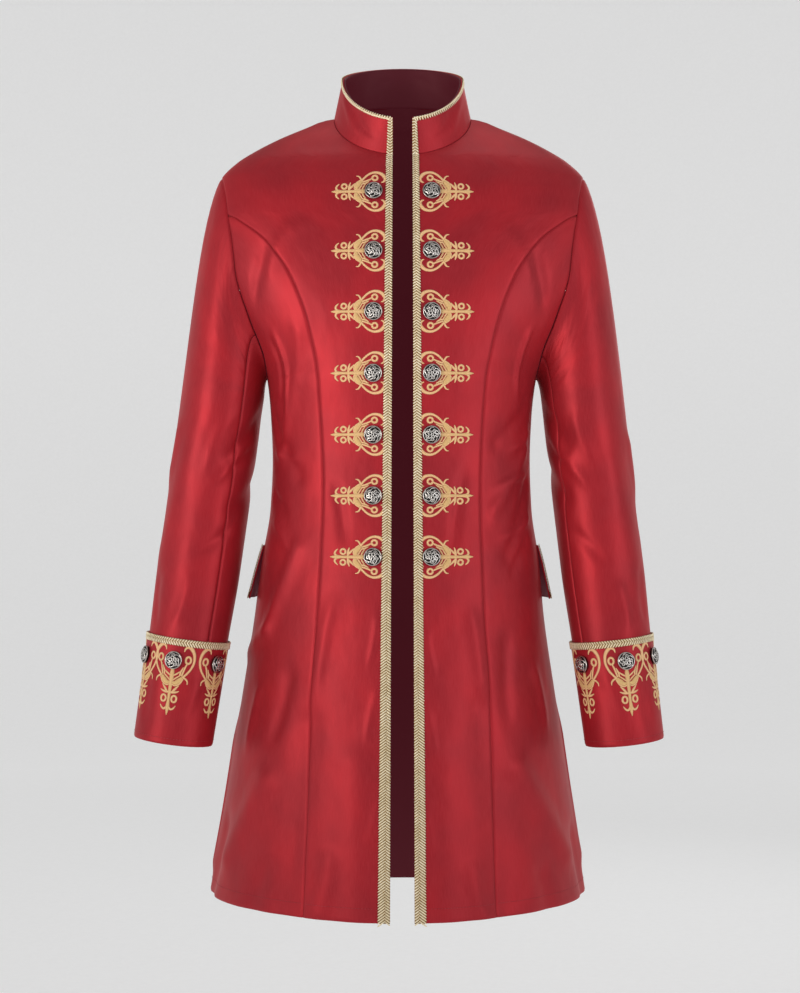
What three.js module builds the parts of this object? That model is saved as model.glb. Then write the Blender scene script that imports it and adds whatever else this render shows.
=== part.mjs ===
// A knee-length, fitted frock-style tailcoat with a stand collar, worn open, as a set of thin
// cloth walls that keep the hollow form of a general figure.
//
// Millimetres, +Z up. The wearer faces -Y, so the wearer's left is at +X. The origin lies
// midway between the two points where the shoulder seams meet the collar.
import * as THREE from "three";
import { mergeVertices } from "three/addons/utils/BufferGeometryUtils.js";

// ---------------------------------------------------------------- driving dimensions
const CLOTH = 1.6;
const LINING = 1.0;
const BRAID = 1.4;
const SEAM_GAP = 0.3;
const LAID_ON = 0.4;
const COLLAR_LINING_SLACK = 0.9;

const HEM_Z = -938;
const NECK = { halfWidth: 82.5, frontDrop: 55, backRise: 28 };
const FRONT_GAP = { top: 11.5, hem: 14 };
const ARMHOLE = { top: -72, bottom: -314, halfDepth: 62, steps: 20, princessStep: 7 };
const SKIRT_ROWS = 16;
const NECK_ROW_DEGREES = [18, 30, 45, 60, 75];

const COLLAR_TOP = {
  halfWidth: 72, front: -74, back: 75, sideZ: 48, backRise: 28, frontDrop: 60.5, lean: 0.8,
};
const COLLAR_ROWS = 3;
const COLLAR_BRAID_FOOT = 0.03;

const SLEEVE_AXIS = { x: 216.5, z: -330, length: 417 };
const SLEEVE_ROWS = 12;
const CAP_STEPS = [0, 0.14, 0.32, 0.55, 0.78, 1];
const CAP_PULL = { start: 0.43, end: 1.0 };
const HINDARM_SEAM = -90;
const CUFF = { height: 120, rows: 3, overhang: 1.5 };
const BRAID_WIDTH = { collar: 7, frontTop: 7, frontHem: 13, cuff: 8, flap: 7 };

const FLAP = { front: 84, back: 126, top: -514, bottom: -579, standOff: 8.5, columns: 6, rows: 2 };

const BUTTON = { radius: 10.5, height: 6.5, segments: 12 };
const FRONT_BUTTONS = { count: 7, x: 33.5, firstZ: -101, pitch: 70.6 };
const CUFF_BUTTONS = { below: 24, degrees: [155, 100, 35] };

// Level sections of the trunk: half its width, its front and back, the depth at which it is
// widest, how far its sides sway to the wearer's right, and the power of its superellipse.
// Above z = 0 only the nape of the back is used.
const TRUNK = [
  { z: -938, halfWidth: 230.5, front: -151, back: 138, widest: 47, sway: 6, power: 1.8 },
  { z: -825, halfWidth: 210.5, front: -142, back: 131, widest: 40, sway: 5, power: 1.87 },
  { z: -700, halfWidth: 191, front: -131, back: 124, widest: 30, sway: 4.5, power: 1.95 },
  { z: -605, halfWidth: 176, front: -124, back: 118, widest: 20, sway: 4, power: 2 },
  { z: -530, halfWidth: 167, front: -116, back: 109, widest: 12, sway: 2.5, power: 2.05 },
  { z: -470, halfWidth: 157.5, front: -109, back: 99, widest: 8, sway: 1.8, power: 2.1 },
  { z: -411, halfWidth: 155, front: -106, back: 95, widest: 6, sway: 1.5, power: 2.1 },
  { z: -360, halfWidth: 157, front: -109, back: 99, widest: 6, sway: 1.5, power: 2.15 },
  { z: -314, halfWidth: 162, front: -114, back: 106, widest: 6, sway: 1, power: 2.2 },
  { z: -290, halfWidth: 171, front: -115, back: 109, widest: 5, sway: 0, power: 2.2 },
  { z: -245, halfWidth: 199, front: -115, back: 113, widest: 5, sway: 0, power: 2.2 },
  { z: -185, halfWidth: 229, front: -110, back: 116, widest: 4, sway: 0, power: 2.15 },
  { z: -127, halfWidth: 236, front: -99, back: 113, widest: 2, sway: 0, power: 2.1 },
  { z: -95, halfWidth: 229, front: -90, back: 108, widest: 1, sway: 0, power: 2.05 },
  { z: -72, halfWidth: 217.5, front: -79, back: 103, widest: 0, sway: 0, power: 2 },
  { z: -54, halfWidth: 199, front: -67.5, back: 99, widest: 0, sway: 0, power: 2 },
  { z: -40, halfWidth: 177, front: -53.5, back: 96, widest: 0, sway: 0, power: 2 },
  { z: -25, halfWidth: 148, front: -38, back: 92, widest: 0, sway: 0, power: 2 },
  { z: -11, halfWidth: 115, front: -22, back: 88, widest: 0, sway: 0, power: 2 },
  { z: -3.5, halfWidth: 98, front: -13, back: 86, widest: 0, sway: 0, power: 2 },
  { z: 0, halfWidth: 83.5, front: -10, back: 84, widest: 0, sway: 0, power: 2 },
  { z: 14, halfWidth: 80.8, front: -9, back: 80, widest: 0, sway: 0, power: 2 },
  { z: 24, halfWidth: 78, front: -8, back: 76.7, widest: 0, sway: 0, power: 2 },
  { z: 28, halfWidth: 72, front: -8, back: 75.5, widest: 0, sway: 0, power: 2 },
];

// Princess seam: its distance from the middle plane at each level.
const PRINCESS = [
  { z: -938, x: 112 },
  { z: -833, x: 109 },
  { z: -700, x: 105 },
  { z: -578, x: 96 },
  { z: -450, x: 91.5 },
  { z: -327, x: 97 },
  { z: -262, x: 108 },
  { z: -200, x: 129.5 },
  { z: -155.6, x: 160 },
  { z: -121, x: 205 },
];

// Sections across the sleeve, by the distance down its axis from the biceps. Forward is the
// depth of the axis, which bends to the front below the elbow.
const SLEEVE = [
  { down: 0, halfWidth: 49.5, halfDepth: 65, forward: 7 },
  { down: 100, halfWidth: 49.5, halfDepth: 61, forward: 9 },
  { down: 210, halfWidth: 49.5, halfDepth: 56, forward: 0 },
  { down: 300, halfWidth: 47, halfDepth: 50, forward: -14 },
  { down: 417, halfWidth: 45, halfDepth: 45, forward: -32 },
];

// How far the back's lining hangs clear of the back's inner face.
const LINING_SLACK = [
  { z: -938, slack: 7 },
  { z: -600, slack: 7 },
  { z: -330, slack: 5 },
  { z: -150, slack: 4 },
  { z: 0, slack: 2 },
  { z: 28, slack: 0.6 },
];

// Large folds of the trunk, as soft ridges (+) or troughs (-) from one place to another.
// Angles are in degrees round the trunk: 0 is the front, 180 the back, + the wearer's left.
const MM_PER_DEGREE = 3;
const TRUNK_FOLDS = [
  { fromAngle: -47, fromZ: -517, toAngle: -62, toZ: -612, height: 3.5, width: 13 },
  { fromAngle: -62, fromZ: -612, toAngle: -82, toZ: -642, height: 3, width: 12 },
  { fromAngle: -52, fromZ: -790, toAngle: -68, toZ: -885, height: 5, width: 17 },
  { fromAngle: -34, fromZ: -720, toAngle: -38, toZ: -925, height: -3.5, width: 20 },
  { fromAngle: -16, fromZ: -760, toAngle: -15, toZ: -938, height: 3, width: 18 },
  { fromAngle: -38, fromZ: -262, toAngle: -66, toZ: -405, height: 2, width: 10 },
  { fromAngle: -72, fromZ: -370, toAngle: -50, toZ: -430, height: -3, width: 11 },
  { fromAngle: 44, fromZ: -770, toAngle: 66, toZ: -880, height: 5, width: 16 },
  { fromAngle: 30, fromZ: -700, toAngle: 34, toZ: -925, height: -3.5, width: 20 },
  { fromAngle: 14, fromZ: -740, toAngle: 16, toZ: -938, height: 2.5, width: 18 },
  { fromAngle: 70, fromZ: -400, toAngle: 42, toZ: -470, height: 3, width: 10 },
  { fromAngle: 72, fromZ: -440, toAngle: 48, toZ: -525, height: -3, width: 11 },
  { fromAngle: 66, fromZ: -352, toAngle: 44, toZ: -392, height: -2.5, width: 10 },
  { fromAngle: -106, fromZ: -680, toAngle: -110, toZ: -938, height: 5, width: 26 },
  { fromAngle: -130, fromZ: -640, toAngle: -134, toZ: -938, height: -5, width: 28 },
  { fromAngle: -158, fromZ: -600, toAngle: -156, toZ: -938, height: 5, width: 30 },
  { fromAngle: 108, fromZ: -700, toAngle: 112, toZ: -938, height: 5, width: 24 },
  { fromAngle: 136, fromZ: -620, toAngle: 132, toZ: -938, height: -5, width: 30 },
  { fromAngle: 163, fromZ: -650, toAngle: 160, toZ: -938, height: 4, width: 28 },
  { fromAngle: -140, fromZ: -380, toAngle: -105, toZ: -430, height: -3, width: 13 },
  { fromAngle: 142, fromZ: -400, toAngle: 108, toZ: -455, height: -3, width: 13 },
];

// Large folds of each sleeve. Angles go round it: 0 faces the body, 90 the front, 180 away.
const SLEEVE_FOLDS = {
  right: [
    { fromAngle: 10, fromDown: 20, toAngle: 60, toDown: 75, height: -3.5, width: 13 },
    { fromAngle: -20, fromDown: 95, toAngle: 45, toDown: 135, height: -3, width: 12 },
    { fromAngle: -60, fromDown: 120, toAngle: -100, toDown: 190, height: -3, width: 14 },
    { fromAngle: 120, fromDown: 60, toAngle: 150, toDown: 200, height: 2, width: 18 },
  ],
  left: [
    { fromAngle: 14, fromDown: 12, toAngle: 52, toDown: 60, height: -3, width: 12 },
    { fromAngle: -15, fromDown: 80, toAngle: 40, toDown: 122, height: -3, width: 12 },
    { fromAngle: -66, fromDown: 110, toAngle: -104, toDown: 175, height: -3, width: 14 },
    { fromAngle: 116, fromDown: 90, toAngle: 140, toDown: 230, height: 2, width: 18 },
  ],
};

// The two sides of the coat: the sign of x, where the forearm seam of the sleeve lies, and
// how far the sleeve's axis leans outward for each millimetre down.
const SIDES = [
  { name: "right", sign: -1, forearmSeam: 54, outward: 0.135 },
  { name: "left", sign: 1, forearmSeam: 37, outward: 0.114 },
];

const SATIN = { color: 0xb1292f, roughness: 0.38, metalness: 0 };
const SATIN_DARK = { color: 0x9c2229, roughness: 0.4, metalness: 0 };
const LINING_CLOTH = { color: 0x45131b, roughness: 0.55, metalness: 0 };
const GOLD_BRAID = { color: 0xd9c08c, roughness: 0.45, metalness: 0.4 };
const SILVER = { color: 0x8d8a86, roughness: 0.4, metalness: 0.9 };

// ---------------------------------------------------------------- small helpers
const HALF_PI = Math.PI / 2;
const radians = THREE.MathUtils.degToRad;
const range = (count, make) => Array.from({ length: count }, (_, index) => make(index));
const spread = (from, to, steps) => range(steps + 1, (i) => from + ((to - from) * i) / steps);

// Slope of a table's column at one row: the harmonic mean of its two neighbours' slopes,
// which never overshoots.
function slopeAt(table, by, column, row) {
  const rise = (i) => (table[i + 1][column] - table[i][column]) / (table[i + 1][by] - table[i][by]);
  if (row === 0) return rise(0);
  if (row === table.length - 1) return rise(row - 1);
  const before = rise(row - 1);
  const after = rise(row);
  return before * after <= 0 ? 0 : (2 * before * after) / (before + after);
}

// Smooth value of one column of a table, at a place along another of its columns.
function lookUp(table, by, column, at) {
  const place = THREE.MathUtils.clamp(at, table[0][by], table[table.length - 1][by]);
  let row = 0;
  while (row < table.length - 2 && place > table[row + 1][by]) row += 1;
  const span = table[row + 1][by] - table[row][by];
  const t = (place - table[row][by]) / span;
  const start = table[row][column];
  const end = table[row + 1][column];
  const startSlope = slopeAt(table, by, column, row) * span;
  const endSlope = slopeAt(table, by, column, row + 1) * span;
  return hermite(start, startSlope, end, endSlope, t);
}

function hermite(start, startSlope, end, endSlope, t) {
  const rest = 1 - t;
  return (
    start * (1 + 2 * t) * rest * rest +
    startSlope * t * rest * rest +
    end * t * t * (3 - 2 * t) -
    endSlope * t * t * rest
  );
}

// Height of a set of folds at a place, given along the cloth as (across, along) in millimetres.
function foldHeight(folds, across, along) {
  return folds.reduce((height, fold) => {
    const spanX = fold.to.x - fold.from.x;
    const spanY = fold.to.y - fold.from.y;
    const reach = (across - fold.from.x) * spanX + (along - fold.from.y) * spanY;
    const t = THREE.MathUtils.clamp(reach / (spanX * spanX + spanY * spanY), 0, 1);
    const gap = Math.hypot(across - fold.from.x - t * spanX, along - fold.from.y - t * spanY);
    return height + fold.height * Math.exp(-((gap / fold.width) ** 2));
  }, 0);
}

// A table of folds as straight stretches in millimetres of cloth.
function laidOut(table, millimetresPerDegree, along) {
  return table.map((fold) => ({
    from: new THREE.Vector2(fold.fromAngle * millimetresPerDegree, fold[`from${along}`]),
    to: new THREE.Vector2(fold.toAngle * millimetresPerDegree, fold[`to${along}`]),
    height: fold.height,
    width: fold.width,
  }));
}

// Outward unit normal of a surface given as a function of two numbers.
function normalOf(surface, u, v, stepU, stepV) {
  const across = surface(u + stepU, v).sub(surface(u - stepU, v));
  const along = surface(u, v + stepV).sub(surface(u, v - stepV));
  return across.cross(along).normalize();
}

// ---------------------------------------------------------------- trunk surface
const trunkFolds = laidOut(TRUNK_FOLDS, MM_PER_DEGREE, "Z");

function trunkSection(z) {
  const value = (column) => lookUp(TRUNK, "z", column, z);
  return {
    halfWidth: value("halfWidth"),
    front: value("front"),
    back: value("back"),
    widest: value("widest"),
    sway: value("sway"),
    power: value("power"),
  };
}

function bareTrunk(angle, z) {
  const section = trunkSection(z);
  const swell = 2 / section.power;
  const across = Math.sin(angle);
  const ahead = Math.cos(angle);
  const depth = ahead >= 0 ? section.widest - section.front : section.back - section.widest;
  const halfWidth = section.halfWidth * Math.sign(across) - section.sway;
  return new THREE.Vector3(
    halfWidth * Math.abs(across) ** swell,
    section.widest - depth * Math.sign(ahead) * Math.abs(ahead) ** swell,
    z,
  );
}

const trunkNormal = (angle, z) => normalOf(bareTrunk, angle, z, 0.03, 1.5);

// A point of the trunk, lifted off the cloth's outer face. Angles run from -180 to 180 degrees.
function trunkPoint(angle, z, lift = 0) {
  const turned = angle > Math.PI ? angle - 2 * Math.PI : angle;
  const across = THREE.MathUtils.radToDeg(turned) * MM_PER_DEGREE;
  const fold = foldHeight(trunkFolds, across, z);
  return bareTrunk(angle, z).addScaledVector(trunkNormal(angle, z), lift + fold);
}

// Angle at which the front of the trunk lies at a given distance from the middle plane.
function angleAtX(x, z) {
  const section = trunkSection(z);
  return Math.asin(Math.min(1, x / section.halfWidth) ** (section.power / 2));
}

function frontEdgeAngle(z) {
  const fall = z / HEM_Z;
  return angleAtX(FRONT_GAP.top + (FRONT_GAP.hem - FRONT_GAP.top) * fall, z);
}

// The neckline, by degrees round the neck: 0 is the front, 90 the shoulder, 180 the nape.
function neckline(degrees) {
  const turn = radians(degrees);
  const x = NECK.halfWidth * Math.sin(turn);
  const z = -Math.cos(turn) * (degrees < 90 ? NECK.frontDrop : NECK.backRise);
  const angle = angleAtX(x, z);
  return { z, angle: degrees <= 90 ? angle : Math.PI - angle };
}

const armholeMiddle = (ARMHOLE.top + ARMHOLE.bottom) / 2;
const armholeHalfHeight = (ARMHOLE.top - ARMHOLE.bottom) / 2;

// The armhole, by turns round it: 0 is the underarm, 90 the front, 180 the shoulder.
function armhole(turn) {
  const z = armholeMiddle - armholeHalfHeight * Math.cos(turn);
  const section = trunkSection(z);
  const before = Math.sin(turn) >= 0;
  const depth = before ? section.widest - section.front : section.back - section.widest;
  const share = (ARMHOLE.halfDepth * Math.abs(Math.sin(turn))) / depth;
  const angle = Math.acos(Math.min(1, share ** (section.power / 2)));
  return { z, angle: before ? angle : Math.PI - angle };
}

function armholeAngle(z, behind) {
  const share = THREE.MathUtils.clamp((armholeMiddle - z) / armholeHalfHeight, -1, 1);
  const turn = Math.acos(share);
  return armhole(behind ? -turn : turn).angle;
}

// ---------------------------------------------------------------- rows of the trunk
const halfSteps = ARMHOLE.steps / 2;
const armholeRows = range(halfSteps + 1, (i) => armhole((i * Math.PI) / halfSteps).z);
const frontNeckDegrees = THREE.MathUtils.radToDeg(Math.asin(FRONT_GAP.top / NECK.halfWidth));
const frontNeckRows = [frontNeckDegrees, ...NECK_ROW_DEGREES].map((d) => neckline(d).z);
const napeDegrees = NECK_ROW_DEGREES.map((d) => 180 - d).reverse();
const napeRows = napeDegrees.map((d) => neckline(d).z);
const skirtRows = spread(HEM_Z, ARMHOLE.bottom, SKIRT_ROWS).slice(0, -1);
const princessTopZ = armholeRows[ARMHOLE.princessStep];
const SHOULDER_TIP_ROW = -1.5;

const frontRows = [...skirtRows, ...armholeRows, ...frontNeckRows, SHOULDER_TIP_ROW];
const sideFrontRows = frontRows.filter((z) => z <= princessTopZ + 0.001);
const backRows = [...skirtRows, ...armholeRows, ...frontNeckRows, 0, ...napeRows];

// ---------------------------------------------------------------- closed walls
// A closed wall between an outer and an inner sheet of points, each a list of rows. Both
// sheets are split along the same diagonals, so that the wall keeps its thickness.
function closedWall(outer, inner, wraps = false) {
  const rows = outer.length;
  const columns = outer[0].length;
  const positions = [...outer.flat(), ...inner.flat()].flatMap((point) => point.toArray());
  const at = (sheet, row, column) => (sheet * rows + row) * columns + (column % columns);
  const faces = [];
  const quad = (a, b, c, d) => faces.push([a, b, c], [a, c, d]);
  const lastColumn = wraps ? columns : columns - 1;
  for (let row = 0; row < rows - 1; row += 1) {
    for (let column = 0; column < lastColumn; column += 1) {
      const next = column + 1;
      quad(at(0, row, column), at(0, row, next), at(0, row + 1, next), at(0, row + 1, column));
      quad(at(1, row, column), at(1, row + 1, column), at(1, row + 1, next), at(1, row, next));
    }
    if (!wraps) {
      quad(at(1, row, 0), at(0, row, 0), at(0, row + 1, 0), at(1, row + 1, 0));
      const end = columns - 1;
      quad(at(0, row, end), at(1, row, end), at(1, row + 1, end), at(0, row + 1, end));
    }
  }
  const top = rows - 1;
  for (let column = 0; column < lastColumn; column += 1) {
    const next = column + 1;
    quad(at(1, 0, column), at(1, 0, next), at(0, 0, next), at(0, 0, column));
    quad(at(0, top, column), at(0, top, next), at(1, top, next), at(1, top, column));
  }
  return closedGeometry(positions, faces);
}

function triangles(index) {
  const corners = Array.from(index.array);
  return range(corners.length / 3, (i) => corners.slice(i * 3, i * 3 + 3));
}

// Welds the points, drops the faces that have shrunk to a line, and turns the faces outwards.
function closedGeometry(positions, faces) {
  const loose = new THREE.BufferGeometry();
  loose.setAttribute("position", new THREE.Float32BufferAttribute(positions, 3));
  loose.setIndex(faces.flat());
  const welded = mergeVertices(loose, 0.001);
  const kept = triangles(welded.index).filter(([a, b, c]) => a !== b && b !== c && c !== a);
  const place = welded.getAttribute("position");
  const corner = (i) => new THREE.Vector3().fromBufferAttribute(place, i);
  const volume = kept.reduce(
    (sum, [a, b, c]) => sum + corner(a).dot(corner(b).cross(corner(c))) / 6,
    0,
  );
  const facing = volume < 0 ? kept.map(([a, b, c]) => [a, c, b]) : kept;
  welded.setIndex(facing.flat());
  return welded;
}

// A wall laid on a surface(u, v, lift), from rows of (u, v) places.
function wallOn(surface, places, lift, thickness, wraps = false) {
  const sheet = (height) => places.map((row) => row.map(([u, v]) => surface(u, v, height)));
  return closedWall(sheet(lift), sheet(lift - thickness), wraps);
}

const coat = new THREE.Group();

function addPiece(name, geometry, finish) {
  const piece = new THREE.Mesh(geometry, new THREE.MeshStandardMaterial(finish));
  piece.name = name;
  coat.add(piece);
  return piece;
}

// ---------------------------------------------------------------- panels of the trunk
// Places across a panel, half a seam gap in from the two lines that bound it.
function panelRow(z, fromAngle, toAngle, columns) {
  const step = 0.01;
  const pace = (angle) => bareTrunk(angle + step, z).distanceTo(bareTrunk(angle - step, z)) / 2;
  const inset = (angle) => ((SEAM_GAP / 2) * step) / pace(angle);
  const from = fromAngle + inset(fromAngle);
  const to = toAngle - inset(toAngle);
  const middle = (from + to) / 2;
  const ends = from < to ? [from, to] : [middle, middle];
  return spread(ends[0], ends[1], columns).map((angle) => [angle, z]);
}

const sidePlace = (side) => (angle, z, lift) => trunkPoint(side.sign * angle, z, lift);

function frontInnerAngle(z) {
  if (z < frontNeckRows[0] - 0.001) return frontEdgeAngle(z);
  return neckline(THREE.MathUtils.radToDeg(Math.acos(-z / NECK.frontDrop))).angle;
}

function princessAngle(z) {
  return angleAtX(lookUp(PRINCESS, "z", "x", z), z);
}

function frontOuterAngle(z) {
  if (z < princessTopZ - 0.001) return princessAngle(z);
  return z <= ARMHOLE.top ? armholeAngle(z, false) : HALF_PI;
}

function sideOuterAngle(z, behind) {
  const beside = z > ARMHOLE.bottom && z < ARMHOLE.top;
  return beside ? armholeAngle(z, behind) : HALF_PI;
}

function backEndAngle(z) {
  if (z <= 0) return sideOuterAngle(z, true);
  return neckline(90 + THREE.MathUtils.radToDeg(Math.asin(z / NECK.backRise))).angle;
}

for (const side of SIDES) {
  const surface = sidePlace(side);
  const front = frontRows.map((z) => panelRow(z, frontInnerAngle(z), frontOuterAngle(z), 7));
  addPiece(`front_${side.name}`, wallOn(surface, front, 0, CLOTH), SATIN);
  const sideFront = sideFrontRows.map((z, row) => {
    const tip = row === sideFrontRows.length - 1;
    const outer = sideOuterAngle(z, false);
    return panelRow(z, tip ? outer : princessAngle(z), outer, 6);
  });
  addPiece(`side_front_${side.name}`, wallOn(surface, sideFront, 0, CLOTH), SATIN);
}

const backPlaces = backRows.map((z) => {
  const end = backEndAngle(z);
  return panelRow(z, end, 2 * Math.PI - end, 16);
});
addPiece("back", wallOn(trunkPoint, backPlaces, 0, CLOTH), SATIN);

// The back's lining is sewn in at the neck and hangs free of the back's folds below. It keeps
// every other column of the back, and every other row between the waist and the shoulder.
function liningPoint(angle, z, lift = 0) {
  const slack = lookUp(LINING_SLACK, "z", "slack", z);
  return bareTrunk(angle, z).addScaledVector(trunkNormal(angle, z), lift - CLOTH - slack);
}

const liningPlaces = backPlaces
  .filter((row, number) => number % 2 === 0 || number < SKIRT_ROWS || row[0][1] > ARMHOLE.top)
  .map((row) => row.filter((place, column) => column % 2 === 1));
addPiece("lining_back", wallOn(liningPoint, liningPlaces, 0, LINING), LINING_CLOTH);

// ---------------------------------------------------------------- collar
const collarDegrees = [frontNeckDegrees, ...NECK_ROW_DEGREES, 90, ...napeDegrees];
const topFrontDegrees = THREE.MathUtils.radToDeg(Math.asin(FRONT_GAP.top / COLLAR_TOP.halfWidth));

// Degrees along the collar's top edge that stand over given degrees of the neckline. The
// front columns lean towards the opening.
function topDegrees(degrees) {
  if (degrees >= 90) return degrees;
  const share = (90 - degrees) / (90 - frontNeckDegrees);
  return 90 - (90 - topFrontDegrees) * share ** COLLAR_TOP.lean;
}

function collarTop(degrees) {
  const turn = radians(topDegrees(degrees));
  const x = COLLAR_TOP.halfWidth * Math.sin(turn);
  const ahead = Math.cos(turn);
  const y = ahead >= 0 ? ahead * COLLAR_TOP.front : -ahead * COLLAR_TOP.back;
  const frontZ = COLLAR_TOP.sideZ - ahead * COLLAR_TOP.frontDrop;
  const backZ = COLLAR_TOP.sideZ - ahead * COLLAR_TOP.backRise;
  return new THREE.Vector3(x, y, ahead >= 0 ? frontZ : backZ);
}

// Signed degrees round the neck give both halves: + is the wearer's left.
function bareCollar(degrees, rise) {
  const turned = degrees > 180 ? degrees - 360 : degrees;
  const seam = neckline(Math.abs(turned));
  const foot = trunkPoint(seam.angle, seam.z);
  foot.z += SEAM_GAP;
  const point = foot.lerp(collarTop(Math.abs(turned)), rise);
  point.x *= Math.sign(turned) || 1;
  return point;
}

function collarPoint(degrees, rise, lift = 0) {
  const normal = normalOf(bareCollar, degrees, rise, 1, 0.05);
  return bareCollar(degrees, rise).addScaledVector(normal, lift);
}

const collarColumns = [...collarDegrees, ...collarDegrees.map((d) => 360 - d).reverse()];
const collarPlaces = (rises) => rises.map((rise) => collarColumns.map((d) => [d, rise]));
const collarRises = spread(0, 1, COLLAR_ROWS);
addPiece("collar", wallOn(collarPoint, collarPlaces(collarRises), 0, CLOTH), SATIN_DARK);
const liningRises = [0.04, ...collarRises.slice(1, -1), 0.98];
addPiece(
  "lining_collar",
  wallOn(collarPoint, collarPlaces(liningRises), -CLOTH - COLLAR_LINING_SLACK, LINING),
  LINING_CLOTH,
);

// ---------------------------------------------------------------- sleeves
const armholeHub = new THREE.Vector3(205, 4, armholeMiddle);
const axisDown = (side) => new THREE.Vector3(side.outward, 0, -1).normalize();
const axisOut = (side) => new THREE.Vector3(1, 0, side.outward).normalize();

// Where the sleeve is set in: a point just clear of the armhole, and how the cloth leaves it.
function sleeveHead(side, turn) {
  const place = (t) => {
    const seam = armhole(t);
    const onTrunk = trunkPoint(side.sign * seam.angle, seam.z);
    onTrunk.x *= side.sign;
    return onTrunk;
  };
  const seam = armhole(turn);
  const point = place(turn);
  const along = place(turn + 0.05).sub(place(turn - 0.05));
  const away = along.cross(trunkNormal(seam.angle, seam.z)).normalize();
  if (away.dot(armholeHub.clone().sub(point)) < 0) away.negate();
  const topShare = ((1 - Math.cos(turn)) / 2) ** 2;
  const outward = new THREE.Vector3(1, 0, -0.3 * Math.abs(Math.sin(turn)));
  const leave = away.clone().multiplyScalar(topShare).addScaledVector(outward, 1 - topShare);
  return { point: point.addScaledVector(away, LAID_ON), leave: leave.normalize() };
}

function sleeveRing(side, turn, down) {
  const value = (column) => lookUp(SLEEVE, "down", column, down);
  const ring = new THREE.Vector3(SLEEVE_AXIS.x, value("forward"), SLEEVE_AXIS.z);
  ring.addScaledVector(axisDown(side), down);
  ring.addScaledVector(axisOut(side), -value("halfWidth") * Math.cos(turn));
  ring.y -= value("halfDepth") * Math.sin(turn);
  return ring;
}

// The sleeve by turns round it and by length: from -1 at the armhole to 0 at the biceps in
// the cap, then in millimetres down the axis.
function bareSleeve(side, turn, length) {
  if (length >= 0) return sleeveRing(side, turn, length);
  const head = sleeveHead(side, turn);
  const end = sleeveRing(side, turn, 0);
  const chord = end.distanceTo(head.point);
  const start = head.leave.clone().multiplyScalar(CAP_PULL.start * chord);
  const finish = axisDown(side).multiplyScalar(CAP_PULL.end * chord);
  const t = Math.max(0, 1 + length);
  const mix = (axis) => hermite(head.point[axis], start[axis], end[axis], finish[axis], t);
  return new THREE.Vector3(mix("x"), mix("y"), mix("z"));
}

const sleeveFolds = Object.fromEntries(
  SIDES.map((side) => [side.name, laidOut(SLEEVE_FOLDS[side.name], 1, "Down")]),
);

// A point of one side's sleeve, lifted off its outer face.
const sleeveSurface = (side) => (turn, length, lift = 0) => {
  const step = length < 0 ? 0.04 : 2;
  const from = length < 0 ? Math.max(-1, length - step) : length - Math.min(step, length);
  const place = (t, l) => bareSleeve(side, t, l);
  const across = place(turn + 0.03, length).sub(place(turn - 0.03, length));
  const along = place(turn, from).sub(place(turn, length + step));
  const normal = across.cross(along).normalize();
  const degrees = THREE.MathUtils.radToDeg(turn);
  const fold = length > 0 ? foldHeight(sleeveFolds[side.name], degrees, length) : 0;
  const settle = Math.min(1, Math.max(0, length) / 25);
  const point = place(turn, length).addScaledVector(normal, lift + fold * settle);
  point.x *= side.sign;
  return point;
};

const columnDegrees = 360 / ARMHOLE.steps;
const capLengths = CAP_STEPS.map((t) => t - 1);
const sleeveLengths = spread(0, SLEEVE_AXIS.length, SLEEVE_ROWS).slice(1);
const allLengths = [...capLengths, ...sleeveLengths];
const SLEEVE_SEAM_INSET = radians(0.17);

function sleevePart(side, fromDegrees, toDegrees) {
  const steps = Math.round((toDegrees - fromDegrees) / columnDegrees);
  const turns = spread(radians(fromDegrees), radians(toDegrees), steps);
  turns[0] += SLEEVE_SEAM_INSET;
  turns[steps] -= SLEEVE_SEAM_INSET;
  const places = allLengths.map((length) => turns.map((turn) => [turn, length]));
  return wallOn(sleeveSurface(side), places, 0, CLOTH);
}

const cuffTop = SLEEVE_AXIS.length - CUFF.height;
const cuffLengths = spread(cuffTop, SLEEVE_AXIS.length + CUFF.overhang, CUFF.rows);
const ringTurns = range(ARMHOLE.steps, (i) => radians(i * columnDegrees));
const ringPlaces = (lengths) => lengths.map((length) => ringTurns.map((turn) => [turn, length]));
const cuffLift = LAID_ON + CLOTH;

for (const side of SIDES) {
  const seam = side.forearmSeam;
  const topSleeve = sleevePart(side, seam, 360 + HINDARM_SEAM);
  const underSleeve = sleevePart(side, HINDARM_SEAM, seam);
  addPiece(`sleeve_top_${side.name}`, topSleeve, SATIN);
  addPiece(`sleeve_under_${side.name}`, underSleeve, SATIN);
  const surface = sleeveSurface(side);
  const cuff = wallOn(surface, ringPlaces(cuffLengths), cuffLift, CLOTH, true);
  addPiece(`cuff_${side.name}`, cuff, SATIN);
  const braidLengths = [cuffTop - CUFF.overhang, cuffTop - CUFF.overhang + BRAID_WIDTH.cuff];
  const braidLift = cuffLift + LAID_ON + BRAID;
  const braid = wallOn(surface, ringPlaces(braidLengths), braidLift, BRAID, true);
  addPiece(`braid_cuff_${side.name}`, braid, GOLD_BRAID);
}

// ---------------------------------------------------------------- braid on the fronts
function frontBraidWidth(z) {
  return BRAID_WIDTH.frontTop + (BRAID_WIDTH.frontHem - BRAID_WIDTH.frontTop) * (z / HEM_Z);
}

const frontBraidRows = frontRows.filter((z) => z <= frontNeckRows[0] + 0.001);
const frontBraidPlaces = frontBraidRows.map((z) => {
  const edge = FRONT_GAP.top + ((FRONT_GAP.hem - FRONT_GAP.top) * z) / HEM_Z;
  const across = [edge, edge + frontBraidWidth(z)];
  return across.map((x) => [angleAtX(x, z), z]);
});
for (const side of SIDES) {
  const braid = wallOn(sidePlace(side), frontBraidPlaces, LAID_ON + BRAID, BRAID);
  addPiece(`braid_front_${side.name}`, braid, GOLD_BRAID);
}

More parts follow.
